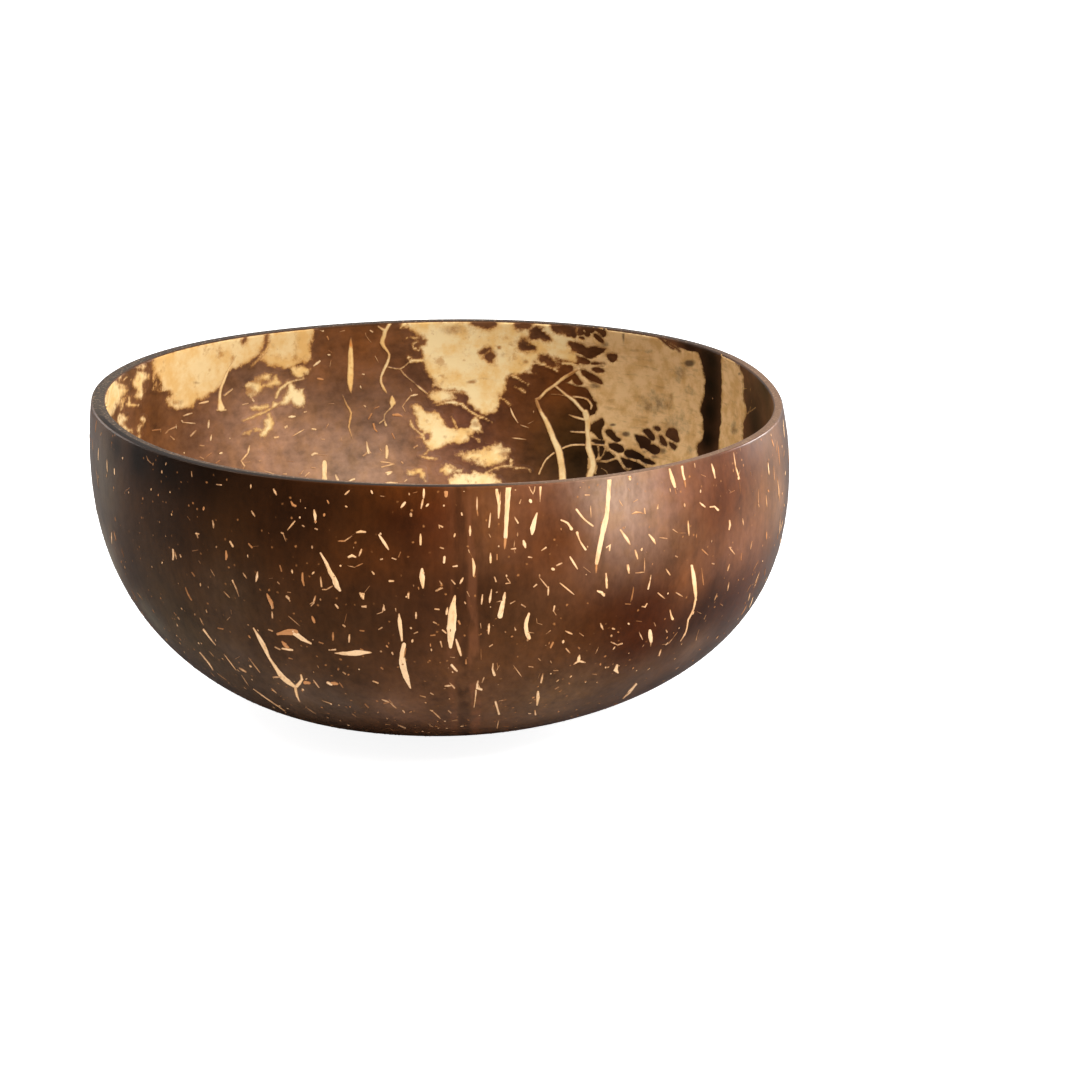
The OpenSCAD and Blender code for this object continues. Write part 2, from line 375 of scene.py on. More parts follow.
# clouds, grain and streaks over the tone: long and upright outside, short and curly inside
# each has its size in mm, its strength and how it is stretched
clouding = {
    "outside": {"clouds": (9, 1.2, (1, 1, 0.7)), "fine": (1.1, 0.8, (1, 1, 0.6)),
                "streaks": (2.0, 0.5, (1, 1, 0.05))},
    "inside": {"clouds": (7, 1.5, (1, 1, 1)), "fine": (1.4, 0.9, (0.8, 0.8, 1)),
               "streaks": (3.0, 0.6, (0.4, 0.4, 1.3))}}
warmth = {"size": 3.6, "from": 0.40, "to": 0.66, "share": 0.7, "tint": (1.06, 0.99, 0.80), "darkest": 0.25}


def mottledTone(tree, place, side):
    level = 1
    for size, weight, stretch in clouding[side].values():
        level = level + weight * (grain(tree, place, size, 4, 0.6, stretch) - 0.5)
    level = addNode(tree, "ShaderNodeMath", {"operation": "MAXIMUM"}, {0: level, 1: warmth["darkest"]})
    tone = attribute(tree, "tone", 0)
    warm = ease(tree, grain(tree, place, warmth["size"], 3, 0.6, turn=(0.5, 0.9, 0.2)), warmth["from"], warmth["to"])
    tinted = mixColour(tree, 1.0, tone, warmth["tint"], "MULTIPLY")
    tone = mixColour(tree, warm * warmth["share"], tone, tinted)
    return addNode(tree, "ShaderNodeVectorMath", {"operation": "SCALE"}, {"Vector": tone, "Scale": level})


def wallRoughness(tree, place):
    return 0.32 + 0.16 * grain(tree, place, 5, 4, 0.6)


# polished outside: the seam of the nut as an upright band at the front, fine pale dots, a soft shine
# the seam lies across mm to the right and wanders in mm; band, edge and beyond are mm from its middle
# front, right and left are places in m, each from where it starts to where it is full, and underRim is in mm
seam = {"across": 12.8, "wander": 1.6, "band": (0.5, 1.2), "edge": (-3.6, -2.6, -1.6, -0.8),
        "beyond": (-5.2, -4.4, -3.8, -3.0), "front": (-0.03, -0.02), "broken": (0.36, 0.6),
        "bandShare": 0.34, "edgeShare": 0.45, "beyondShare": 0.2, "light": linear(140, 84, 54),
        "dark": linear(46, 24, 12)}
dots = {"gap": 1.9, "size": (0.03, 0.16), "uneven": 0.34, "where": (0.44, 0.58), "share": 0.7,
        "colour": linear(190, 124, 70)}
shine = {"least": 0.03, "right": (0.042, 0.064, 0.5), "left": (-0.07, -0.056, 0.7), "underRim": (2.4, 0.9),
         "rough": 0.26, "specular": 0.12, "tint": (1, 0.68, 0.4), "bump": 0.02}


def outsideMaterial():
    material, tree, shader = newMaterial("polished shell outside")
    place = objectPlace(tree)
    across = addNode(tree, "ShaderNodeSeparateXYZ", {}, {0: place})
    depth, height = otherOut(across, "Y"), otherOut(across, "Z")
    off = across - seam["across"] * mm + seam["wander"] * mm * (grain(tree, place, 12, 2, 0.5, (0, 0, 1)) - 0.5)
    away = addNode(tree, "ShaderNodeMath", {"operation": "ABSOLUTE"}, {0: off})
    front = 1 - ease(tree, depth, *seam["front"])
    inBand = (1 - ease(tree, away, seam["band"][0] * mm, seam["band"][1] * mm)) * front
    onEdge, beyond = between(tree, off, seam["edge"]) * front, between(tree, off, seam["beyond"]) * front
    broken = ease(tree, grain(tree, place, 2.4, 3, 0.6, (1, 1, 0.12)), *seam["broken"])
    lighter = (inBand * seam["bandShare"] + beyond * seam["beyondShare"]) * broken
    colour = mixColour(tree, lighter, mottledTone(tree, place, "outside"), seam["light"])
    colour = mixColour(tree, onEdge * broken * seam["edgeShare"], colour, seam["dark"])
    cells = addNode(tree, "ShaderNodeTexVoronoi", {"feature": "F1"}, {"Vector": place, "Scale": 1 / (dots["gap"] * mm)})
    uneven = cells + dots["uneven"] * (grain(tree, place, 0.7, 3, 0.7) - 0.5)
    picked = ease(tree, grain(tree, place, 5, 3, 0.6), *dots["where"])
    colour = mixColour(tree, (1 - ease(tree, uneven, *dots["size"])) * picked * dots["share"], colour, dots["colour"])
    coat(tree, shader, colour, 0.30 + 0.16 * grain(tree, place, 6, 4, 0.6),
         bump(tree, grain(tree, place, 0.9, 4, 0.65), shine["bump"]), shine["specular"], shine["tint"])
    lower = 1 - ease(tree, height, *(rimLevel - gap * mm for gap in shine["underRim"]))
    rightStart, rightEnd, rightShine = shine["right"]
    leftStart, leftEnd, leftShine = shine["left"]
    atLeft = leftShine * (1 - ease(tree, across, leftStart, leftEnd)) * lower
    weight = shine["least"] + rightShine * ease(tree, across, rightStart, rightEnd) + atLeft
    plug(tree, weight, shader, "Coat Weight")
    shader.inputs["Coat Roughness"].default_value = shine["rough"]
    return material


# sanded rim, darker to the left as painted shade and lighter to the right as painted light, and darker at the back,
# each from one place in m to the next; at the near left it is dark from its outer edge inwards, by inset in mm
rim = {"left": linear(64, 54, 45), "right": linear(120, 92, 72), "shadedLeftToLitRight": (-0.065, 0.03),
       "far": linear(58, 47, 40), "backwards": (0.015, 0.05), "specks": linear(170, 142, 116),
       "speckFrom": (0.52, 0.68), "pits": linear(84, 62, 48), "pitFrom": (0.54, 0.7), "marks": 0.6,
       "near": (-0.024, -0.008), "leftPart": (0.01, 0.035), "inset": (0.8, 1.2), "outer": linear(20, 11, 6),
       "outerShare": 0.9}


def rimMaterial():
    material, tree, shader = newMaterial("sanded rim")
    place = objectPlace(tree)
    across = addNode(tree, "ShaderNodeSeparateXYZ", {}, {0: place})
    depth = otherOut(across, "Y")
    # painted shade on the left blending into painted light on the right
    colour = mixColour(tree, ease(tree, across, *rim["shadedLeftToLitRight"]), rim["left"], rim["right"])
    colour = mixColour(tree, ease(tree, depth, *rim["backwards"]), colour, rim["far"])
    speck = grain(tree, place, 0.55, 3, 0.7)
    colour = mixColour(tree, ease(tree, speck, *rim["speckFrom"]) * rim["marks"], colour, rim["specks"])
    pits = grain(tree, place, 0.9, 3, 0.7, turn=(0.4, 0.2, 1.0))
    colour = mixColour(tree, ease(tree, pits, *rim["pitFrom"]) * rim["marks"], colour, rim["pits"])
    nearLeft = (1 - ease(tree, depth, *rim["near"])) * (1 - ease(tree, across, *rim["leftPart"]))
    outerPart = 1 - ease(tree, attribute(tree, "inset"), *rim["inset"])
    colour = mixColour(tree, nearLeft * outerPart * rim["outerShare"], colour, rim["outer"])
    coat(tree, shader, colour, 0.5 + 0.2 * speck, bump(tree, speck, 0.03), 0.12)
    return material


# the inside wall, darker close under the rim, by darkUnder in mm
hollow = {"darkUnder": (0.6, 0.2), "share": 0.6, "dark": linear(50, 34, 24), "specular": 0.1, "tint": (1, 0.8, 0.6)}


def insideMaterial():
    material, tree, shader = newMaterial("shell inside")
    place = objectPlace(tree)
    height = addNode(tree, "ShaderNodeSeparateXYZ", {}, {0: place}, out=2)
    edge = ease(tree, height, *(rimLevel - gap * mm for gap in hollow["darkUnder"])) * hollow["share"]
    colour = mixColour(tree, edge, mottledTone(tree, place, "inside"), hollow["dark"])
    coat(tree, shader, colour, wallRoughness(tree, place), bump(tree, grain(tree, place, 1.1, 4, 0.6), 0.03),
         hollow["specular"], hollow["tint"])
    return material


wallMesh.materials.clear()
for material in (outsideMaterial(), rimMaterial(), insideMaterial()):
    wallMesh.materials.append(material)
wallMesh.polygons.foreach_set("material_index", sides)
wallMesh.shade_smooth()
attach(bowlWall, "root")
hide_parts("shell")
print("wall painted")


# pale tissue: its own colour where the cover is thick, the wall's colour where it thins out
def tissueMaterial(name, look, side="inside"):
    material, tree, shader = newMaterial(name)
    place = objectPlace(tree)
    ragged = grain(tree, place, look["raggedSize"], 5, 0.7)
    torn = grain(tree, place, look["raggedSize"] * 3, 4, 0.6, turn=(0.7, 0.3, 0.4))
    edge = attribute(tree, "cover") + look["ragged"] * (ragged - 0.5) + look["torn"] * (torn - 0.5)
    share = ease(tree, edge, look["thin"], look["full"])
    patches = grain(tree, place, look["patchSize"], 5, 0.65)
    colour = mixColour(tree, ease(tree, patches, *look["patchFrom"]), look["pale"], look["golden"])
    fibres = grain(tree, place, look["fibreSize"], 3, 0.6, look["fibreStretch"], look["fibreTurn"])
    colour = mixColour(tree, ease(tree, fibres, *look["fibreFrom"]) * look["fibres"], colour, look["fibre"])
    blotch = grain(tree, place, look["blotchSize"], 5, 0.7)
    spread = grain(tree, place, look["cloudSize"], 4, 0.6, turn=(0.2, 0.8, 0.1))
    clouded = ease(tree, blotch * 0.6 + spread * 0.4, *look["cloudFrom"]) * look["clouded"]
    colour = mixColour(tree, clouded, colour, look["edge"])
    stained = ease(tree, attribute(tree, "stain") + 0.8 * (blotch - 0.5), *look["stainFrom"]) * 0.9
    colour = mixColour(tree, stained, colour, look["stain"])
    colour = mixColour(tree, ease(tree, edge, look["thin"], look["full"] + look["tint"]), look["edge"], colour)
    colour = mixColour(tree, share, mottledTone(tree, place, side), colour)
    coat(tree, shader, colour, wallRoughness(tree, place) + 0.14 * share, bump(tree, fibres + patches, 0.05), 0.12)
    return material


def along(start, end, share):
    return start + (end - start) * share


def curvePoint(a, b, c, d, t):  # a point of the smooth curve from b to c
    return tuple(0.5 * (2 * q + (r - p) * t + (2 * p - 5 * q + 4 * r - s) * t * t
                        + (3 * q - p - 3 * r + s) * t ** 3) for p, q, r, s in zip(a, b, c, d))


def smoothLoop(outline):  # the same outline with its corners rounded off
    count = len(outline)
    return [curvePoint(*(outline[(i + k) % count] for k in range(-1, 3)), t)
            for i in range(count) for t in (0, 0.25, 0.5, 0.75)]


def smoothPath(marks, step):  # a curve through marks, each x, y, width
    points = [marks[0]] + list(marks) + [marks[-1]]
    path = []
    for a, b, c, d in zip(points, points[1:], points[2:], points[3:]):
        count = max(1, round(math.hypot(c[0] - b[0], c[1] - b[1]) / step))
        path += [curvePoint(a, b, c, d, i / count) for i in range(count)]
    return path + [tuple(marks[-1])]


def nearLine(px, py, a, b):  # how far along a line its nearest point lies, and how far off that is, in pixels
    dx, dy = b[0] - a[0], b[1] - a[1]
    share = np.clip(((px - a[0]) * dx + (py - a[1]) * dy) / max(dx * dx + dy * dy, 1e-6), 0, 1)
    return share, np.hypot(px - along(a[0], b[0], share), py - along(a[1], b[1], share))


def strokeDepth(px, py, stroke):  # how deep inside a brush stroke, in pixels
    deepest = np.full(px.shape, -1e3)
    for a, b in zip(stroke, stroke[1:]):
        share, away = nearLine(px, py, a, b)
        deepest = np.maximum(deepest, along(a[2], b[2], share) / 2 - away)
    return deepest


def outlineDepth(px, py, outline):  # how deep inside an outline, in pixels
    away, inside = np.full(px.shape, 1e3), np.zeros(px.shape, bool)
    for a, b in zip(outline, outline[1:] + outline[:1]):
        away = np.minimum(away, nearLine(px, py, a, b)[1])
        dx, dy = b[0] - a[0], b[1] - a[1]
        inside ^= ((a[1] > py) != (b[1] > py)) & (px < a[0] + dx * (py - a[1]) / (dy if abs(dy) > 1e-9 else 1e-9))
    return np.where(inside, away, -away)


def waver(px, py, size, seed):
    return np.array([noise.noise(Vector((x / size, y / size, seed))) for x, y in zip(px, py)])


# a patch of tissue: step to slopeFrom are in photograph pixels, rimGap to thick in mm
tissue = {"outlines": [], "holes": [], "cuts": [], "strokes": [], "stains": [], "step": 1.5, "margin": 3,
          "curveStep": 4, "wave": 1.6, "waveSize": 11, "fray": 1.2, "fraySize": 4.5, "fullest": 2.5, "lip": 1.2,
          "lipSoft": 1.5, "slope": 3.5, "slopeFrom": 1.2, "rimGap": 0.22, "pixel": 0.2, "rise": 0.12, "sink": 0.12,
          "film": 0, "thick": 0.35, "strokeLift": 0, "crisp": 1}
coverDepth = 10  # a cover of 1 is tissue this many pixels deep


def layTissue(name, node, material, spec):
    spec = {**tissue, **spec}
    step, margin, outlines = spec["step"], spec["margin"], spec["outlines"]
    strokes = [smoothPath(s, spec["curveStep"]) if len(s) > 2 else s for s in spec["strokes"]]
    marks = [p[:2] for line in outlines + strokes for p in line]
    reach = margin + step + max([p[2] / 2 for s in strokes for p in s] + [0])
    left, right = min(p[0] for p in marks) - reach, max(p[0] for p in marks) + reach
    top, bottom = min(p[1] for p in marks) - reach, max(p[1] for p in marks) + reach
    wide, tall = math.ceil((right - left) / step), math.ceil((bottom - top) / step)
    deselect()
    bpy.ops.mesh.primitive_grid_add(x_subdivisions=wide, y_subdivisions=tall, size=2)
    piece = bpy.context.object
    piece.name = name
    mesh = piece.data
    co = cornersOf(mesh)
    px = left + (co[:, 0] + 1) / 2 * wide * step
    py = top + (1 - co[:, 1]) / 2 * tall * step
    # a little waviness, so that no edge runs straight
    seed = len(name) * 3.7
    bendX = waver(px, py, spec["waveSize"], seed) * spec["wave"]
    bendY = waver(px, py, spec["waveSize"], seed + 9) * spec["wave"]
    fray = waver(px, py, spec["fraySize"], seed + 5) * spec["fray"]
    wx, wy = px + bendX, py + bendY
    cover = np.full(px.shape, -1e3)
    for outline in outlines:
        cover = np.maximum(cover, outlineDepth(wx, wy, outline))
    cover = cover + fray
    for hole in spec["holes"]:
        cover = np.minimum(cover, -outlineDepth(wx, wy, smoothLoop(hole)) - 0.3 + fray * 0.5)
    for cut in spec["cuts"]:
        cover = np.minimum(cover, -strokeDepth(wx, wy, smoothPath(cut, spec["curveStep"])))
    for stroke in strokes:
        depth = strokeDepth(px + bendX * 0.3, py + bendY * 0.3, stroke)
        cover = np.maximum(cover, depth + spec["strokeLift"] * np.clip(depth, 0, 1))
    stain = np.zeros(px.shape)
    for sx, sy, wideness, tallness, strength in spec["stains"]:
        stain = np.maximum(stain, strength * np.exp(-((wx - sx) / wideness) ** 2 - ((wy - sy) / tallness) ** 2))
    # each corner near the tissue lands on the wall, and none above the line under the rim
    limit = rimLevel - spec["rimGap"] * mm
    rise, sink, film = spec["rise"] * mm, spec["sink"] * mm, spec["film"] * mm
    landedAt = np.zeros(len(px), bool)
    for i in np.nonzero(cover > -margin - 2 * step)[0]:
        landed = landOn(insideTree, px[i], py[i], 1.2 * step)
        if landed is None:
            continue
        over = (landed[0].z - limit) / (spec["pixel"] * mm)
        if over > 0:
            landed = landOn(insideTree, px[i], py[i] + over, 1.2 * step) if over < 1.5 * step else None
            if landed is None:
                continue
        cover[i] = min(cover[i], spec["fullest"] - min(over, 0))
        spot, normal, drop = landed
        lift = held((cover[i] + spec["lip"]) / spec["lipSoft"]) if drop == 0 else 0
        share = held((cover[i] + spec["slopeFrom"]) / spec["slope"]) if drop == 0 else 0
        spot = spot + normal * (-sink + (sink + film) * lift + (rise - film) * share * share * (3 - 2 * share))
        spot.z = min(spot.z, limit)
        co[i] = spot
        landedAt[i] = True
    # faces off the tissue or off the wall are cut away
    keep = np.array([all(landedAt[i] for i in f.vertices) and max(cover[i] for i in f.vertices) > -margin
                     for f in mesh.polygons]).reshape(tall, wide)
    for _ in range(8):  # no two cells may meet at a corner alone
        a, b, c, d = keep[:-1, :-1], keep[:-1, 1:], keep[1:, :-1], keep[1:, 1:]
        down, up = a & d & ~b & ~c, b & c & ~a & ~d
        if not (down.any() or up.any()):
            break
        a &= ~down
        b &= ~up
    for face, kept in zip(mesh.polygons, keep.ravel()):
        face.select = not kept
    mesh.vertices.foreach_set("co", co.ravel())
    numberEach(mesh, "cover", cover / coverDepth * spec["crisp"])
    numberEach(mesh, "stain", stain)
    hold(piece)
    bpy.context.tool_settings.mesh_select_mode = (False, False, True)
    bpy.ops.object.mode_set(mode="EDIT")
    bpy.ops.mesh.delete(type="FACE")
    bpy.ops.object.mode_set(mode="OBJECT")
    thick = piece.modifiers.new("thick", "SOLIDIFY")
    thick.thickness = spec["thick"] * mm
    middleFace = mesh.polygons[len(mesh.polygons) // 2]
    facing = middleFace.normal.dot(eye - middleFace.center) > 0
    thick.offset = -1 if facing else 1
    bpy.ops.object.modifier_apply(modifier="thick")
    if not facing:
        piece.data.flip_normals()
    paintTone(piece.data, insideTone(cornersOf(piece.data)))
    settle(piece, node, material)


# thin and full are the covers at which the tissue starts and is whole; sizes in mm
skinLook = {"raggedSize": 1.0, "ragged": 1.1, "torn": 0.7, "thin": -0.16, "full": 0.26, "tint": 0.35, "clouded": 0.6,
            "blotchSize": 2.2, "cloudSize": 4.5, "cloudFrom": (0.54, 0.66), "patchSize": 6, "patchFrom": (0.38, 0.66),
            "fibreSize": 1.6, "fibreStretch": (0.35, 0.35, 1.2), "fibreTurn": (0, 0.35, 0), "fibres": 0.15,
            "fibreFrom": (0.52, 0.74), "stainFrom": (0.25, 0.8), "pale": linear(255, 228, 170),
            "golden": linear(244, 198, 122), "fibre": linear(206, 156, 92), "stain": linear(160, 100, 44),
            "edge": linear(190, 128, 64)}
skinSoft = tissueMaterial("pale inner skin", skinLook)
skinCloud = tissueMaterial("cloudy inner skin", dict(
    skinLook, ragged=1.4, torn=0.9, thin=-0.25, full=0.28, tint=0.45, edge=linear(176, 120, 66)))
skinWarm = tissueMaterial("warm inner skin", dict(skinLook, pale=linear(240, 208, 150), golden=linear(230, 182, 110)))
# the right-hand skins' finish: drier and more fibrous, and darker than the others as painted shade for the shaded
# right-hand wall
skinDryShaded = tissueMaterial("dry inner skin with painted shade", dict(
    skinLook, pale=linear(238, 198, 140), golden=linear(214, 168, 106), fibre=linear(150, 108, 64), fibres=0.4,
    fibreSize=1.3, fibreStretch=(0.3, 0.3, 1.3), patchSize=3.5, stain=linear(92, 72, 50), edge=linear(176, 130, 76),
    thin=-0.10, full=0.14, ragged=0.5, torn=0.15, tint=0.14, clouded=0.3))
veinLook = dict(skinLook, raggedSize=0.7, ragged=0.12, torn=0.05, thin=-0.03, full=0.10, fibreStretch=(1, 1, 0.3),
                fibreTurn=(0, 0, 0), fibres=0.4, tint=0.1, clouded=0.3, pale=linear(255, 226, 168),
                golden=linear(240, 194, 122), edge=linear(206, 148, 88))
veinFinish = tissueMaterial("pale vein", veinLook)
strandFinish = tissueMaterial("golden strand", dict(
    veinLook, pale=linear(255, 214, 140), golden=linear(244, 186, 106), stain=linear(220, 128, 52), clouded=0.5))
fleckLook = dict(veinLook, thin=-0.03, full=0.10, tint=0.07, ragged=0.06, torn=0.02, pale=linear(252, 210, 162),
                 golden=linear(246, 196, 140), fibre=linear(190, 132, 78), fibres=0.4, fibreSize=0.7,
                 fibreStretch=(1, 1, 0.25), stain=linear(196, 128, 74), edge=linear(186, 118, 62))
fleckFinish = {"outside": tissueMaterial("pale fleck outside", fleckLook, "outside"),
               "inside": tissueMaterial("pale fleck inside", dict(
                   fleckLook, pale=linear(255, 228, 176), golden=linear(248, 206, 146), stain=linear(214, 144, 84)))}


# the scraps of skin, in photograph pixels; a stain is its middle, half its width and height, and its strength
thinEdged = {"margin": 6, "lip": 4.5, "film": 0.03}
layTissue("skinFarLeft", "skin_far_left", skinCloud, {
    **thinEdged, "step": 1.2, "fray": 2.2, "strokeLift": 1.5, "crisp": 1.35,
    "outlines": [
        [(103, 398), (105, 390), (108, 384), (112, 380), (116, 381), (119, 383), (122, 384), (126, 386),
         (126, 392), (124, 396), (121, 399), (119, 404), (117, 409), (114, 414), (111.5, 418.5), (107, 416),
         (103, 411), (101, 404)],
        [(130, 384), (133, 378), (136, 374), (140, 370), (146, 371), (150, 374), (149, 378), (146, 381),
         (145, 386), (144, 391), (143, 396), (140, 400), (136, 399), (134, 396), (137, 392), (134, 389), (131, 387)],
        [(138, 368), (142, 364.5), (147, 367), (143, 371)],
        [(118, 418), (121, 413), (125, 414), (127, 419), (125, 424), (128, 428), (131, 431), (129, 434),
         (123, 430), (118, 425), (115, 421)],
        [(137, 434), (139, 428), (141, 423), (142, 417), (145, 418), (144, 424), (141, 430), (138.5, 437),
         (135, 439.5), (133, 437)]],
    "strokes": [
        [(124.5, 398, 1.6), (122.5, 404, 1.9), (121.5, 409.5, 1.8)],
        [(128.5, 396.5, 1.4), (129, 400, 2.4), (129, 404.5, 3)],
        [(126.5, 404, 1.5), (132, 405, 2.1), (137.5, 405, 1.6)],
        [(117.5, 383, 1), (119.5, 378, 1.3), (121, 374.5, 0.8)], [(126, 377, 0.8), (123, 380, 1.1)]],
    "stains": [(121, 388, 6, 4, 0.6), (133, 386, 5, 7, 0.5), (123, 423, 5, 5, 0.6), (143, 368, 5, 4, 0.5)]})
layTissue("skinLeft", "skin_left", skinWarm, {
    **thinEdged, "crisp": 1.3,
    "outlines": [
        [(151, 353), (177, 345.5), (212.5, 337), (256.5, 330), (285.5, 326), (315, 323.5), (314, 337.5),
         (310.5, 346.5), (312, 358), (306, 362), (300.5, 364), (293, 368.5), (284, 368.5), (275.5, 367.5),
         (268, 365.5), (262, 360.5), (256.5, 359.5), (251, 367), (247.5, 364), (240, 366), (231.5, 369),
         (225, 378.5), (219.5, 389), (214, 393.5), (208, 396.5), (204.5, 400), (197.5, 400.5), (195, 406.5),
         (189, 408.5), (177, 409.5), (168.5, 408), (165.5, 403), (169, 395), (167, 392), (158, 392),
         (153.5, 384.5), (152, 370)]],
    "cuts": [
        [(266.5, 334.5, 3.2), (265, 346.5, 2.6), (257, 359, 2.6), (250.5, 364, 1.5)],
        [(244.5, 336, 2.6), (243, 342, 2.1)], [(156, 375, 1.8), (159.5, 390.5, 3.2)],
        [(151.5, 373, 1.5), (153.5, 389, 2.6)]],
    "strokes": [
        [(269, 331, 4.4), (269, 345, 4.4), (262, 354.5, 2.9), (252.5, 366, 1.8)],
        [(153.5, 368.5, 1.5), (153, 378.5, 2.1), (153.5, 390.5, 2.6)]],
    "stains": [
        (222.5, 353.5, 8.8, 5.9, 0.45), (298, 337.5, 5.9, 8.8, 0.4), (196, 382.5, 5.9, 2.2, 0.6),
        (177, 401.5, 10.3, 4.4, 0.55), (208, 337.5, 8.8, 2.9, 0.35), (183, 364, 7.3, 4.4, 0.35),
        (232, 358, 2.9, 5.9, 0.4), (296, 356.5, 4.4, 5.9, 0.5), (272, 345, 3.7, 5.9, 0.4)]})
layTissue("skinLeftLow", "skin_left_low", skinCloud, {
    **thinEdged, "step": 1.1, "fray": 0.9, "wave": 0.8, "strokeLift": 1.2, "crisp": 1.7, "lip": 3.5,
    "outlines": [
        [(289, 368), (293, 365), (300, 365), (306, 367), (310, 369), (308, 372.5), (304, 374.5), (303, 378),
         (298, 379.5), (294, 378), (291, 375)],
        [(287, 384), (290.5, 382.5), (293.5, 384), (295, 388.5), (297.5, 390.5), (298.5, 388), (304, 388.5),
         (303, 392), (305.8, 396), (305.5, 402), (303.5, 407), (298.5, 408), (293.5, 405.5), (291, 400.5),
         (289, 402), (287, 405.5), (281.5, 405), (277.5, 403), (282, 399), (285.5, 394), (287.8, 391)],
        [(261.5, 384), (268, 383), (271.5, 380), (274, 375), (277.5, 374), (278.5, 380), (282, 383.2),
         (276, 386.8), (268, 387.6), (262, 387)],
        [(244, 386.5), (249, 381.5), (254, 377.5), (260, 374.5), (268, 373), (273, 374.5), (270, 379),
         (263, 382.5), (261, 384.5), (263, 387.5), (261, 391), (256, 395), (250, 397.5), (247, 394), (247.5, 390)],
        [(249, 407.5), (254, 404.2), (260.5, 404.2), (268, 404.6), (270.5, 407), (266.5, 409.8), (260, 410.4),
         (251.5, 410.4)], [(273.5, 402), (277.5, 401.3), (278.3, 404), (276, 407), (272, 409), (269, 408.5)],
        [(265.5, 412.5), (270.5, 412.5), (273, 417), (275, 423), (273, 428.5), (269, 432), (264.5, 437.8),
         (259.5, 437.8), (259, 433), (262.5, 430), (265.5, 426), (263.5, 421), (266, 417.5)],
        [(253.5, 428.3), (262.5, 428.3), (262, 431.4), (255, 431.4)],
        [(243, 434.5), (247.5, 430.3), (252.5, 429.5), (249, 434.5)]],
    "strokes": [
        [(303.5, 378.5, 2), (293, 381.2, 2.8), (288, 383, 3.4), (283.5, 386, 3), (280.5, 388, 2.4),
         (278, 391.5, 3.2), (276.2, 397.5, 2.4)],
        [(275.5, 404.5, 4), (270, 409, 3.4), (265, 412, 2.8), (258, 414.3, 2.6), (251, 417.4, 2.2), (243.5, 421, 2.4)]],
    "stains": [
        (257, 380, 13, 6, 0.7), (250, 391, 9, 8, 0.68), (290, 402, 3, 4, 0.5), (257, 430, 5, 3, 0.5),
        (248, 432, 6, 4, 0.6)]})
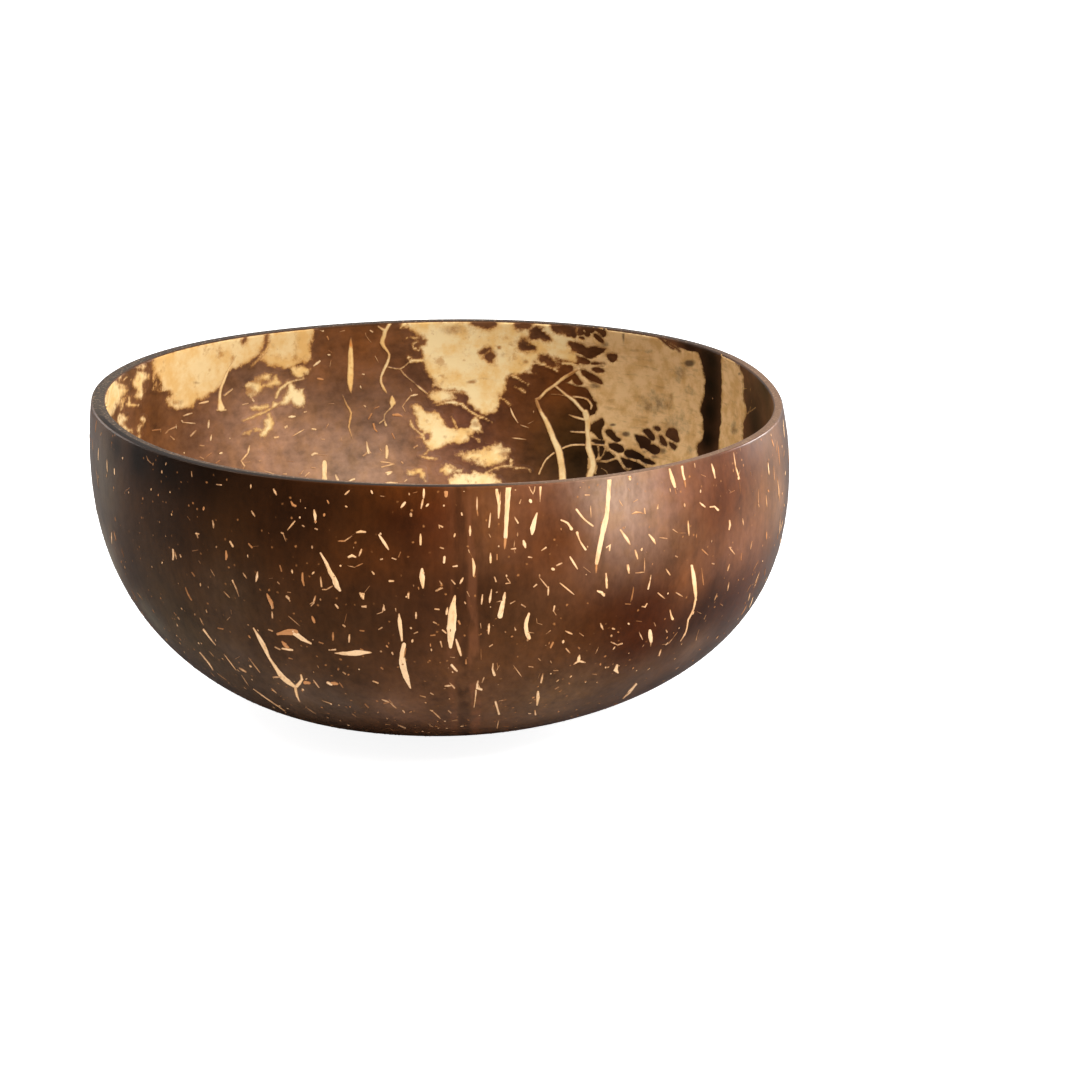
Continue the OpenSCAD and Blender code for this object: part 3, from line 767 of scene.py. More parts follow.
layTissue("skinMiddle", "skin_middle", skinSoft, {
    **thinEdged, "rise": 0.1, "strokeLift": 2.0, "crisp": 1.3,
    "outlines": [
        [(408, 317), (433.5, 316), (482.5, 315.5), (526, 316), (558.5, 317.5), (577, 319.5), (577, 342),
         (569, 341), (570, 346), (572.5, 350), (577, 353), (577, 364), (569, 361.5), (558.5, 360), (556, 364),
         (560.5, 367.5), (556, 370.5), (547.5, 366.5), (535.5, 363), (532.5, 370.5), (536.5, 374), (526, 373.5),
         (519.5, 375), (510.5, 375), (506.5, 379.5), (507.5, 390), (501, 395.5), (499, 405.5), (495.5, 413),
         (482.5, 414.5), (476, 411), (468.5, 405.5), (466.5, 395.5), (456.5, 391.5), (446, 391), (438, 388),
         (432.5, 386.5), (434, 382.5), (432, 378.5), (426, 373), (424, 368), (423, 362), (421.5, 356),
         (419, 349.5), (420, 346), (424.5, 343.5), (424, 340), (418, 336), (413, 332.5), (407.5, 330), (403, 328.5)],
        [(428, 394), (434, 390.5), (440, 389), (447, 391.5), (458, 393), (457, 397), (448, 400), (441, 403.5),
         (434, 403.5), (430, 400)]],
    "holes": [
        [(471.5, 322.5), (482.5, 321.5), (495.5, 322), (493.5, 325.5), (480.5, 327.5), (474, 325)],
        [(516.5, 321), (531.5, 321.5), (531, 325), (527.5, 328.5), (519, 328.5), (516.5, 325)],
        [(530.5, 332), (533, 328), (538, 327), (543, 329.5), (544.5, 333), (548, 337), (550, 340), (545, 339.5),
         (540, 337.5), (535, 339.5), (530.5, 338.5)],
        [(519, 342), (524, 339.5), (527.5, 341.5), (526.5, 344), (532, 345), (535.5, 348.5), (530, 350),
         (525, 351.5), (520, 348.5)],
        [(539.5, 356.5), (545, 355.5), (550, 359.5), (555, 362.5), (556.5, 366), (550, 365.5), (545, 362.5),
         (540.5, 361.5)],
        [(551.5, 323), (560, 323.5), (572, 324.5), (578, 325), (577, 333), (577, 337.5), (568, 336), (560, 332.5),
         (553, 329.5)], [(556, 359), (561, 359), (567, 361.5), (561.5, 363.5)],
        [(486, 356), (491, 353), (495, 355), (494.5, 359.5), (490, 361.5), (486, 359.5)],
        [(481, 351.5), (486, 349), (489.5, 348.5), (484, 353)],
        [(454, 395.5), (459, 394.5), (467, 396.5), (466, 401.5), (458, 400)]],
    "strokes": [
        [(509, 374, 2.2), (519.5, 379.5, 2.4), (528.5, 384.5, 1.1)],
        [(533.5, 363, 2.8), (545.5, 365.5, 2.4), (558, 371, 1.5)],
        [(432, 403.5, 1.2), (438, 405, 1.6), (446, 402.5, 2), (454, 402.5, 2.2), (462, 404.5, 2.6),
         (469, 410, 2.8), (477, 415.5, 2.8), (485, 418.5, 2), (493, 422.5, 1)],
        [(515, 386.5, 1.1), (525, 391.5, 1.5)], [(497, 396.5, 1.5), (504, 399.5, 2.6), (510, 405, 1.8)],
        [(544, 329.5, 3.6), (551, 332, 3.8), (560, 337, 4), (570, 339, 4.2), (582, 341.5, 4.6)],
        [(563, 363, 2.4), (570, 363.5, 3), (577, 365.5, 2.6), (585, 366.5, 2.4)],
        [(532, 343, 3), (542, 346, 7), (552, 348, 11), (562, 349, 12), (568, 350, 8)],
        [(425, 348, 6), (430, 362, 10), (440, 378, 9)], [(404.5, 324, 4.3), (401, 327.5, 2.2)],
        [(409.5, 361.5, 2.4), (421.5, 360.5, 2.8)], [(408.5, 357.5, 2.2), (411.5, 359, 1.5)],
        [(419, 350, 2), (413.5, 348, 2.2), (412.5, 345, 1.6), (415, 342.5, 1.2), (418, 341.5, 0.8)],
        [(405, 339, 0.8), (409, 337, 1.4), (416, 338, 1), (421, 337, 0.8)], [(577, 324, 1.6), (577.5, 334, 1.8)]],
    "stains": [
        (491, 352.5, 10, 6, 0.6), (503, 356, 6, 7, 0.45), (499, 347.5, 3, 3, 0.7), (471, 381.5, 6, 3, 0.8),
        (526, 362, 4.3, 2.7, 0.7), (456, 330, 34, 9, 0.5), (463, 392, 6, 3, 0.7), (486, 324, 16.3, 2.7, 0.6),
        (542, 357.5, 8, 4, 0.6), (524, 336, 14, 8, 0.4), (577.5, 329, 3, 6, 0.9), (520, 345, 8, 8, 0.4)]})
layTissue("skinMiddleLow", "skin_middle_low", skinSoft, {
    **thinEdged, "fray": 1.6, "step": 1.2, "strokeLift": 1.2, "crisp": 1.4,
    "outlines": [
        [(411, 404.5), (415, 403), (419, 404), (424, 408), (428, 411), (434, 411.5), (439, 414), (443, 418),
         (446, 424), (450, 427), (456, 428.5), (463, 427), (469, 426), (471, 420), (474, 414), (478, 416),
         (480, 420), (481.5, 428), (481, 431.5), (474, 434), (470, 436), (469, 440), (463, 443.5), (458, 445.5),
         (452, 443), (447, 444.5), (441, 447.5), (437, 450), (430, 450.5), (426, 447), (423, 441), (424, 436),
         (420, 431), (416, 424), (416, 416), (412, 410)]],
    "holes": [[(424.5, 434), (429.5, 434.5), (428.5, 439.5), (425, 439.5)]],
    "strokes": [
        [(451.5, 417, 1.4), (454.5, 422, 2.1), (457, 427.5, 2)], [(470, 434, 1.7), (474, 438, 1.8), (479, 441, 1)],
        [(410.5, 421.5, 2.2), (413, 427, 2.6), (418, 432, 2.2), (423, 435, 1.8)],
        [(418, 437, 2), (423, 437, 2.6), (424, 440, 1.6)], [(429, 449.5, 1.7), (424, 454.5, 1.2)],
        [(419, 455, 1), (425, 457.5, 1.6), (432, 458, 1.3), (438, 459, 0.8)]],
    "stains": [(476, 424, 7, 6, 0.6), (445, 436, 4, 3, 0.6), (453, 437, 3, 3, 0.5), (468, 431, 4, 3, 0.5)]})
layTissue("skinLow", "skin_low", skinCloud, {
    **thinEdged, "fray": 2.2, "step": 1.2, "strokeLift": 1.5, "crisp": 1.3,
    "outlines": [
        [(455, 453.5), (462, 450.5), (470, 452), (480, 450.5), (486, 448.5), (493, 446.5), (496, 443.5),
         (500.5, 443), (501, 447), (508, 448.5), (512.5, 451), (507, 455), (508.5, 458), (503, 462.5),
         (497, 464.5), (490, 467), (484, 467), (478, 465), (471.5, 464.5), (475.5, 460.5), (468, 460.5),
         (461.5, 460), (460, 456)],
        [(449, 480), (455, 473.5), (465, 473), (474, 470.5), (482, 471), (490, 474), (498, 477), (503, 483),
         (492, 490), (470, 491), (450, 487)],
        [(405, 472.5), (408, 470), (418, 469), (422, 468.5), (424.5, 475), (425, 480.5), (421, 480.5),
         (419, 474.5), (412, 474), (407, 474.5)],
        [(438, 470), (441, 466), (445, 463.5), (450, 466), (455, 468), (462.5, 468.5), (462.5, 473), (455, 472.5),
         (449, 475.5), (444, 474.5), (440, 473)]],
    "strokes": [
        [(511, 459.5, 1.8), (511, 466, 2.4)],
        [(488, 472, 1.1), (494, 469, 1.5), (501, 466.5, 1.8), (508, 466, 1.9), (516, 468, 1.8), (524, 468, 1.3),
         (530, 470, 0.9)]],
    "stains": [
        (504, 453, 7, 3, 0.7), (475, 463, 5, 3, 0.5), (487, 463, 4, 3, 0.5), (466, 455, 6, 4, 0.4),
        (452, 470, 7, 4, 0.4), (470, 482, 14, 6, 0.3)]})
layTissue("skinRight", "skin_right", skinDryShaded, {
    "step": 1.1, "fray": 0.6, "wave": 0.8, "rise": 0.13, "rimGap": 0.32,
    "outlines": [
        [(600, 324), (613.5, 326), (636, 329.5), (655, 335), (665.5, 340), (679, 347.5), (687, 350.5), (698, 352),
         (703, 367), (705.5, 380.5), (704.5, 395), (701, 411), (703.5, 420), (704, 430), (702, 441), (697, 446),
         (698.5, 455.5), (695, 471.5), (687, 484.5), (673.5, 498), (655, 507.5), (637.5, 510), (624, 498),
         (615, 480.5), (600, 474), (590, 475.5), (587, 474), (588.5, 454), (586, 440.5), (585.5, 422), (583, 418),
         (588, 416.5), (594.5, 414), (597.5, 409), (596, 403), (592, 397), (588, 390), (582, 387.5), (572, 385.5),
         (564, 383), (570, 381), (573, 378), (573, 370), (574, 352), (574, 322)]],
    "holes": [
        [(570, 323.5), (576, 324), (576.5, 331), (575.5, 337.5), (568, 336)],
        [(578.5, 325), (583, 325.5), (583.5, 330), (580, 331.5), (578.5, 329)],
        [(585, 325.5), (590, 326), (594.5, 328), (593, 332), (589, 332.5), (585.5, 331)],
        [(595.5, 327.5), (600, 328), (603.5, 329.5), (605.5, 333.5), (603.5, 337), (600.5, 333), (596.5, 331)],
        [(585, 333), (589.5, 333), (589.5, 336), (586, 336)],
        [(576.5, 332.5), (583.5, 332), (583.5, 334.5), (577.5, 335)],
        [(580, 337), (584, 337.5), (584, 339.5), (580, 339)],
        [(594, 334.5), (598, 336), (603, 340), (603, 343), (599, 341.5), (595, 338.5)],
        [(568, 341), (574, 342.5), (582, 345), (587, 348.5), (595, 347.5), (604.5, 348.5), (603, 351.5),
         (598, 354.5), (592, 358), (589, 358.5), (585, 356), (578, 353), (572, 350), (569, 346)],
        [(567, 358), (573, 356), (578, 357.5), (584, 358.5), (590, 362), (587, 364.5), (580, 364.5), (573, 362.5)],
        [(592, 363), (600, 363.5), (605, 364.5), (600, 366), (592.5, 365)],
        [(592.5, 369), (598, 368), (604, 371.5), (598, 372.5)],
        [(570.5, 375.5), (574, 374), (577.5, 376.5), (580, 381.5), (582, 384.5), (576, 384), (572.5, 381)],
        [(582, 370), (588, 371.5), (594, 375.5), (600, 379.5), (602.5, 384), (597.5, 382.5), (590, 380),
         (584, 375.5)], [(607, 356), (611, 355), (616.5, 355), (616.5, 359), (613, 362.5), (609, 360)],
        [(588, 429), (592, 424), (597, 421.5), (601, 419.5), (603, 420), (604, 424), (601.5, 429), (601, 434),
         (602.5, 439), (599, 438.5), (595, 434), (592, 431.5)],
        [(606, 431), (609.5, 430), (613, 432.5), (616.5, 437), (620.5, 440), (619.5, 442), (615, 441.5),
         (611.5, 438.5), (607.5, 434.5)],
        [(592, 440.5), (596, 439.5), (600, 440.5), (604, 441.5), (604, 444.5), (601, 445), (596, 443.5)],
        [(609.5, 444), (613, 444), (618, 444.5), (622.5, 447), (624.5, 450.5), (622, 452.5), (617, 452),
         (612.5, 449.5), (610, 447)],
        [(591.5, 445.5), (596, 446.5), (598, 449), (598, 456), (595, 458.5), (593, 456), (592, 450)],
        [(599.5, 447), (602, 446), (606, 448.5), (605.5, 452), (603, 455), (600.5, 457), (599.5, 452)],
        [(607.5, 452), (611, 452.5), (615, 456.5), (613, 459), (606, 460), (601.5, 459.5), (603.5, 456.5),
         (606, 454)],
        [(625, 451.5), (630, 450.5), (637, 452.5), (643.5, 457.5), (640, 459.5), (632, 459), (626, 456)],
        [(635.5, 435.5), (640, 436.5), (646, 437.5), (650.5, 441), (650, 444), (655, 445), (659.5, 449),
         (658.5, 453.5), (653, 454), (648, 450.5), (644, 448), (640.5, 448), (638.5, 443), (636, 439.5)],
        [(643, 430.5), (648, 429.5), (652, 432.5), (655, 437), (654, 440), (650, 438.5), (646.5, 434.5)],
        [(654.5, 427), (658.5, 427), (660.5, 430), (656.5, 430.5)],
        [(659.5, 436), (662.5, 437), (665.5, 441), (667, 445.5), (664, 445), (660.5, 440.5)],
        [(666.5, 433), (668.5, 429.5), (672, 429), (676.5, 431), (678.5, 436), (678.5, 441.5), (674, 440.5),
         (670, 438.5), (667, 436.5)], [(669.5, 443), (673, 444), (676.5, 447), (675, 449.5), (671.5, 447.5)],
        [(597, 462), (606, 463), (612, 461.5), (617, 460.5), (620.5, 463.5), (623.5, 468.5), (625, 473),
         (613, 475), (600, 477), (596.5, 473), (598, 467)],
        [(621, 458), (627, 459.5), (634, 460.5), (638, 463.5), (645, 467), (652, 468.5), (645, 472), (633, 472),
         (628, 469), (625, 465)], [(639.5, 459), (646, 459), (651, 461), (655, 463.5), (649, 464), (644, 462.5)]],
    "cuts": [
        [(659, 336.5, 2.1), (665.5, 343.5, 1.6), (673.5, 349, 1.1)],
        [(665.5, 341.5, 1.3), (672.5, 345.5, 1.6), (680, 352, 0.8)]],
    "strokes": [
        [(577, 341, 4.8), (590, 343.5, 4.4), (606, 347.5, 3.9)],
        [(579, 364.5, 3.2), (593.5, 366, 2.9), (612, 364, 2.7)],
        [(579, 368, 2.4), (588, 370.5, 2.6), (595, 374.5, 2.4), (603, 380, 2)],
        [(604, 446, 2.5), (611, 451.5, 2.6), (617, 457, 2.8), (621, 463, 2.4), (624.5, 468.5, 2.4),
         (631, 468.5, 1.6)],
        [(612, 450.5, 2), (620, 454.5, 2.2), (628, 458.5, 2.2), (636, 461, 2), (643, 465, 2.2), (650, 468.5, 2.2),
         (658, 468, 2)], [(637.5, 460.5, 1.5), (645, 464, 1.8), (652, 466, 2.2), (660, 466, 2.4)],
        [(595, 461, 2.4), (603, 461.5, 2.2), (610, 460.5, 2.4), (617, 458, 2.6)],
        [(598.5, 446, 1.8), (598.8, 458, 1.8)], [(605.5, 449, 1.8), (603.5, 454.5, 1.6), (601, 458, 1.4)],
        [(588, 475.5, 4.4), (594.5, 460.5, 4.6)], [(601, 468, 0.9), (606, 471, 1.2), (608, 475, 0.9)]],
    "stains": [
        (680, 374, 12, 14, 0.5), (690, 363, 6, 4, 1), (690, 391, 10, 9, 0.45), (649.5, 351, 6.7, 3.3, 0.5),
        (656, 404, 30, 20, 0.5), (676, 424, 22, 18, 0.5), (624, 337.5, 1.9, 8, 0.7), (654, 441, 20, 10, 0.4),
        (661, 451, 9, 5, 0.7), (639, 405.5, 16.1, 2.7, 0.4), (647, 392.5, 13.4, 2.7, 0.35), (690, 450, 6, 8, 0.5),
        (626, 434, 5, 3, 0.8), (613, 425, 4, 2, 0.9), (645, 452, 5, 3, 0.6), (670, 417, 5, 2, 0.5),
        (596, 385, 8, 5, 0.7), (604, 344, 8, 4, 0.6), (655, 457, 6, 3, 0.7)]})
layTissue("skinStrip", "skin_strip", skinDryShaded, {
    "step": 1.2, "fray": 0.8, "wave": 0.8, "rimGap": 0.32,
    "outlines": [
        [(721, 349), (728.5, 353.5), (734, 360), (738, 366), (743.5, 376), (744, 389.5), (744.5, 400.5),
         (746, 407), (747.5, 413.5), (743.5, 423), (742.5, 440.5), (740.5, 456.5), (734, 470), (724.5, 474),
         (718, 467.5), (718, 450.5), (720, 427), (721, 405.5), (722, 384.5), (721, 371)]],
    "strokes": [
        [(750.5, 388.5, 0.7), (751, 405.5, 0.8), (747.5, 414.5, 1.1)], [(755.5, 407.5, 0.8), (749, 412.5, 1.3)],
        [(744.5, 388.5, 1.1), (747, 388.5, 0.7)], [(738.5, 364, 1.3), (739.5, 367, 0.7)]],
    "stains": [
        (734, 424.5, 4, 10.7, 0.6), (734.5, 431, 5.4, 6.7, 0.6), (739.5, 373.5, 2, 2.7, 0.7), (727.5, 364, 4, 4, 0.3)]})


# the veins, as brush strokes: pixel across, pixel down, width in pixels
veins = {
    "vein_left": [
        [(236.5, 355, 1.5), (230.5, 364, 2.3), (225, 377, 3.5), (220.5, 389, 3.5), (219.5, 400, 3.8),
         (221, 408, 7.6)], [(224, 395.5, 2.1), (232.5, 389, 1.8)], [(217, 410, 2.1), (225.5, 410, 2.3)]],
    "vein_middle": [
        [(390.5, 322, 3.7), (385.5, 330.5, 4.1)], [(378, 326.5, 1.7), (384.5, 330.5, 3.5)],
        [(385, 330.5, 4.8), (384, 336, 4.6), (382, 342.5, 5), (385.5, 349, 3.3), (389, 354.5, 2.8),
         (387.5, 362, 3.5), (383.5, 370.5, 3.3), (381, 376.5, 3), (381, 382.5, 3), (384, 389, 3.3),
         (387, 393.5, 1.1)], [(388, 367, 1.7), (400, 369, 1.7), (409, 362, 1.3)],
        [(400, 369, 1.3), (404.5, 375, 1.7), (415, 383.5, 1.1)],
        [(415.5, 384.5, 1.3), (419.5, 387.5, 2.6), (427.5, 394, 2)],
        [(392, 396.5, 2.2), (392.5, 402.5, 6.9), (391.5, 407, 2.6), (384.5, 414.5, 1.5), (384, 419, 1.3),
         (386, 425.5, 3)], [(379, 423.5, 1.7), (384, 419.5, 1.5)]],
    "strand_long": [
        [(351, 337.5, 0.9), (350.5, 343.5, 3.3), (350.5, 353.5, 5.6), (350.5, 370.5, 6.5), (350, 383.5, 6.3),
         (351, 393, 1.3)],
        [(342.5, 395, 0.9), (346.5, 404.5, 2), (351, 413, 2.2), (349.5, 421.5, 2.4), (348.5, 427, 2.2),
         (351, 434, 1.5), (352.5, 439, 0.9)]],
    "vein_main": [
        [(579, 369, 3.5), (564, 378, 3.7), (555, 385, 3.5), (545.5, 391.5, 3), (539.5, 398.5, 3.5),
         (535.5, 399, 1.7)],
        [(536.5, 401, 3.5), (540.5, 411, 3.7), (547.5, 424, 5.4), (553.5, 439, 6.4), (559, 451, 7.4),
         (561.5, 465, 7.2), (563, 483.5, 7.8), (564, 499.5, 6.5)],
        [(555.5, 386, 2.6), (566, 395, 3), (573.5, 400, 4.3), (580, 407.5, 3.7), (586, 413.5, 4.3)],
        [(573.5, 396.5, 2.2), (580, 397.5, 2), (587.5, 399.5, 2.4), (592, 405.5, 2.8), (591, 409, 2.2)],
        [(551, 394, 0.8), (560, 394.8, 1.1), (567, 396.5, 1.6)],
        [(554, 453, 2), (545.5, 460.5, 2.2), (542, 467, 2), (539, 474, 2.2)]],
    "vein_link": [
        [(562.5, 448.5, 2.2), (570.5, 445.5, 2.4), (584.5, 445, 2.2)]],
    "vein_right": [
        [(585.5, 412.5, 6.5), (588, 422, 6.8), (587.5, 431, 5.4), (588.8, 440, 5.8), (588.6, 448, 6.8),
         (592, 457, 6.6), (593.4, 466, 6.6), (590, 476, 7.2), (586.5, 492, 5.4), (584.5, 503, 2.2)],
        [(569, 415, 1.1), (574.5, 417, 2.6), (584.5, 419.5, 3.3)], [(570.5, 431.5, 1.7), (584.5, 432.5, 2.8)],
        [(592, 444.5, 2), (605, 445.5, 2.2)]]}
veinStains = {"strand_long": [(350.5, 341, 5, 7, 1), (350, 358, 2, 12, 0.5)],
              "vein_main": [(538, 405, 8, 11, 1), (572, 373, 10, 7, 0.8), (552, 388, 8, 6, 0.5)]}
for node, strokes in veins.items():
    first, *rest = node.split("_")
    finish = strandFinish if first == "strand" else veinFinish
    layTissue(first + "".join(word.title() for word in rest), node, finish, {
        "strokes": strokes, "stains": veinStains.get(node, []), "step": 0.9, "margin": 1.4, "wave": 1.0, "fray": 0.5,
        "rise": 0.17, "slope": 2.6})
print("skins and veins laid")


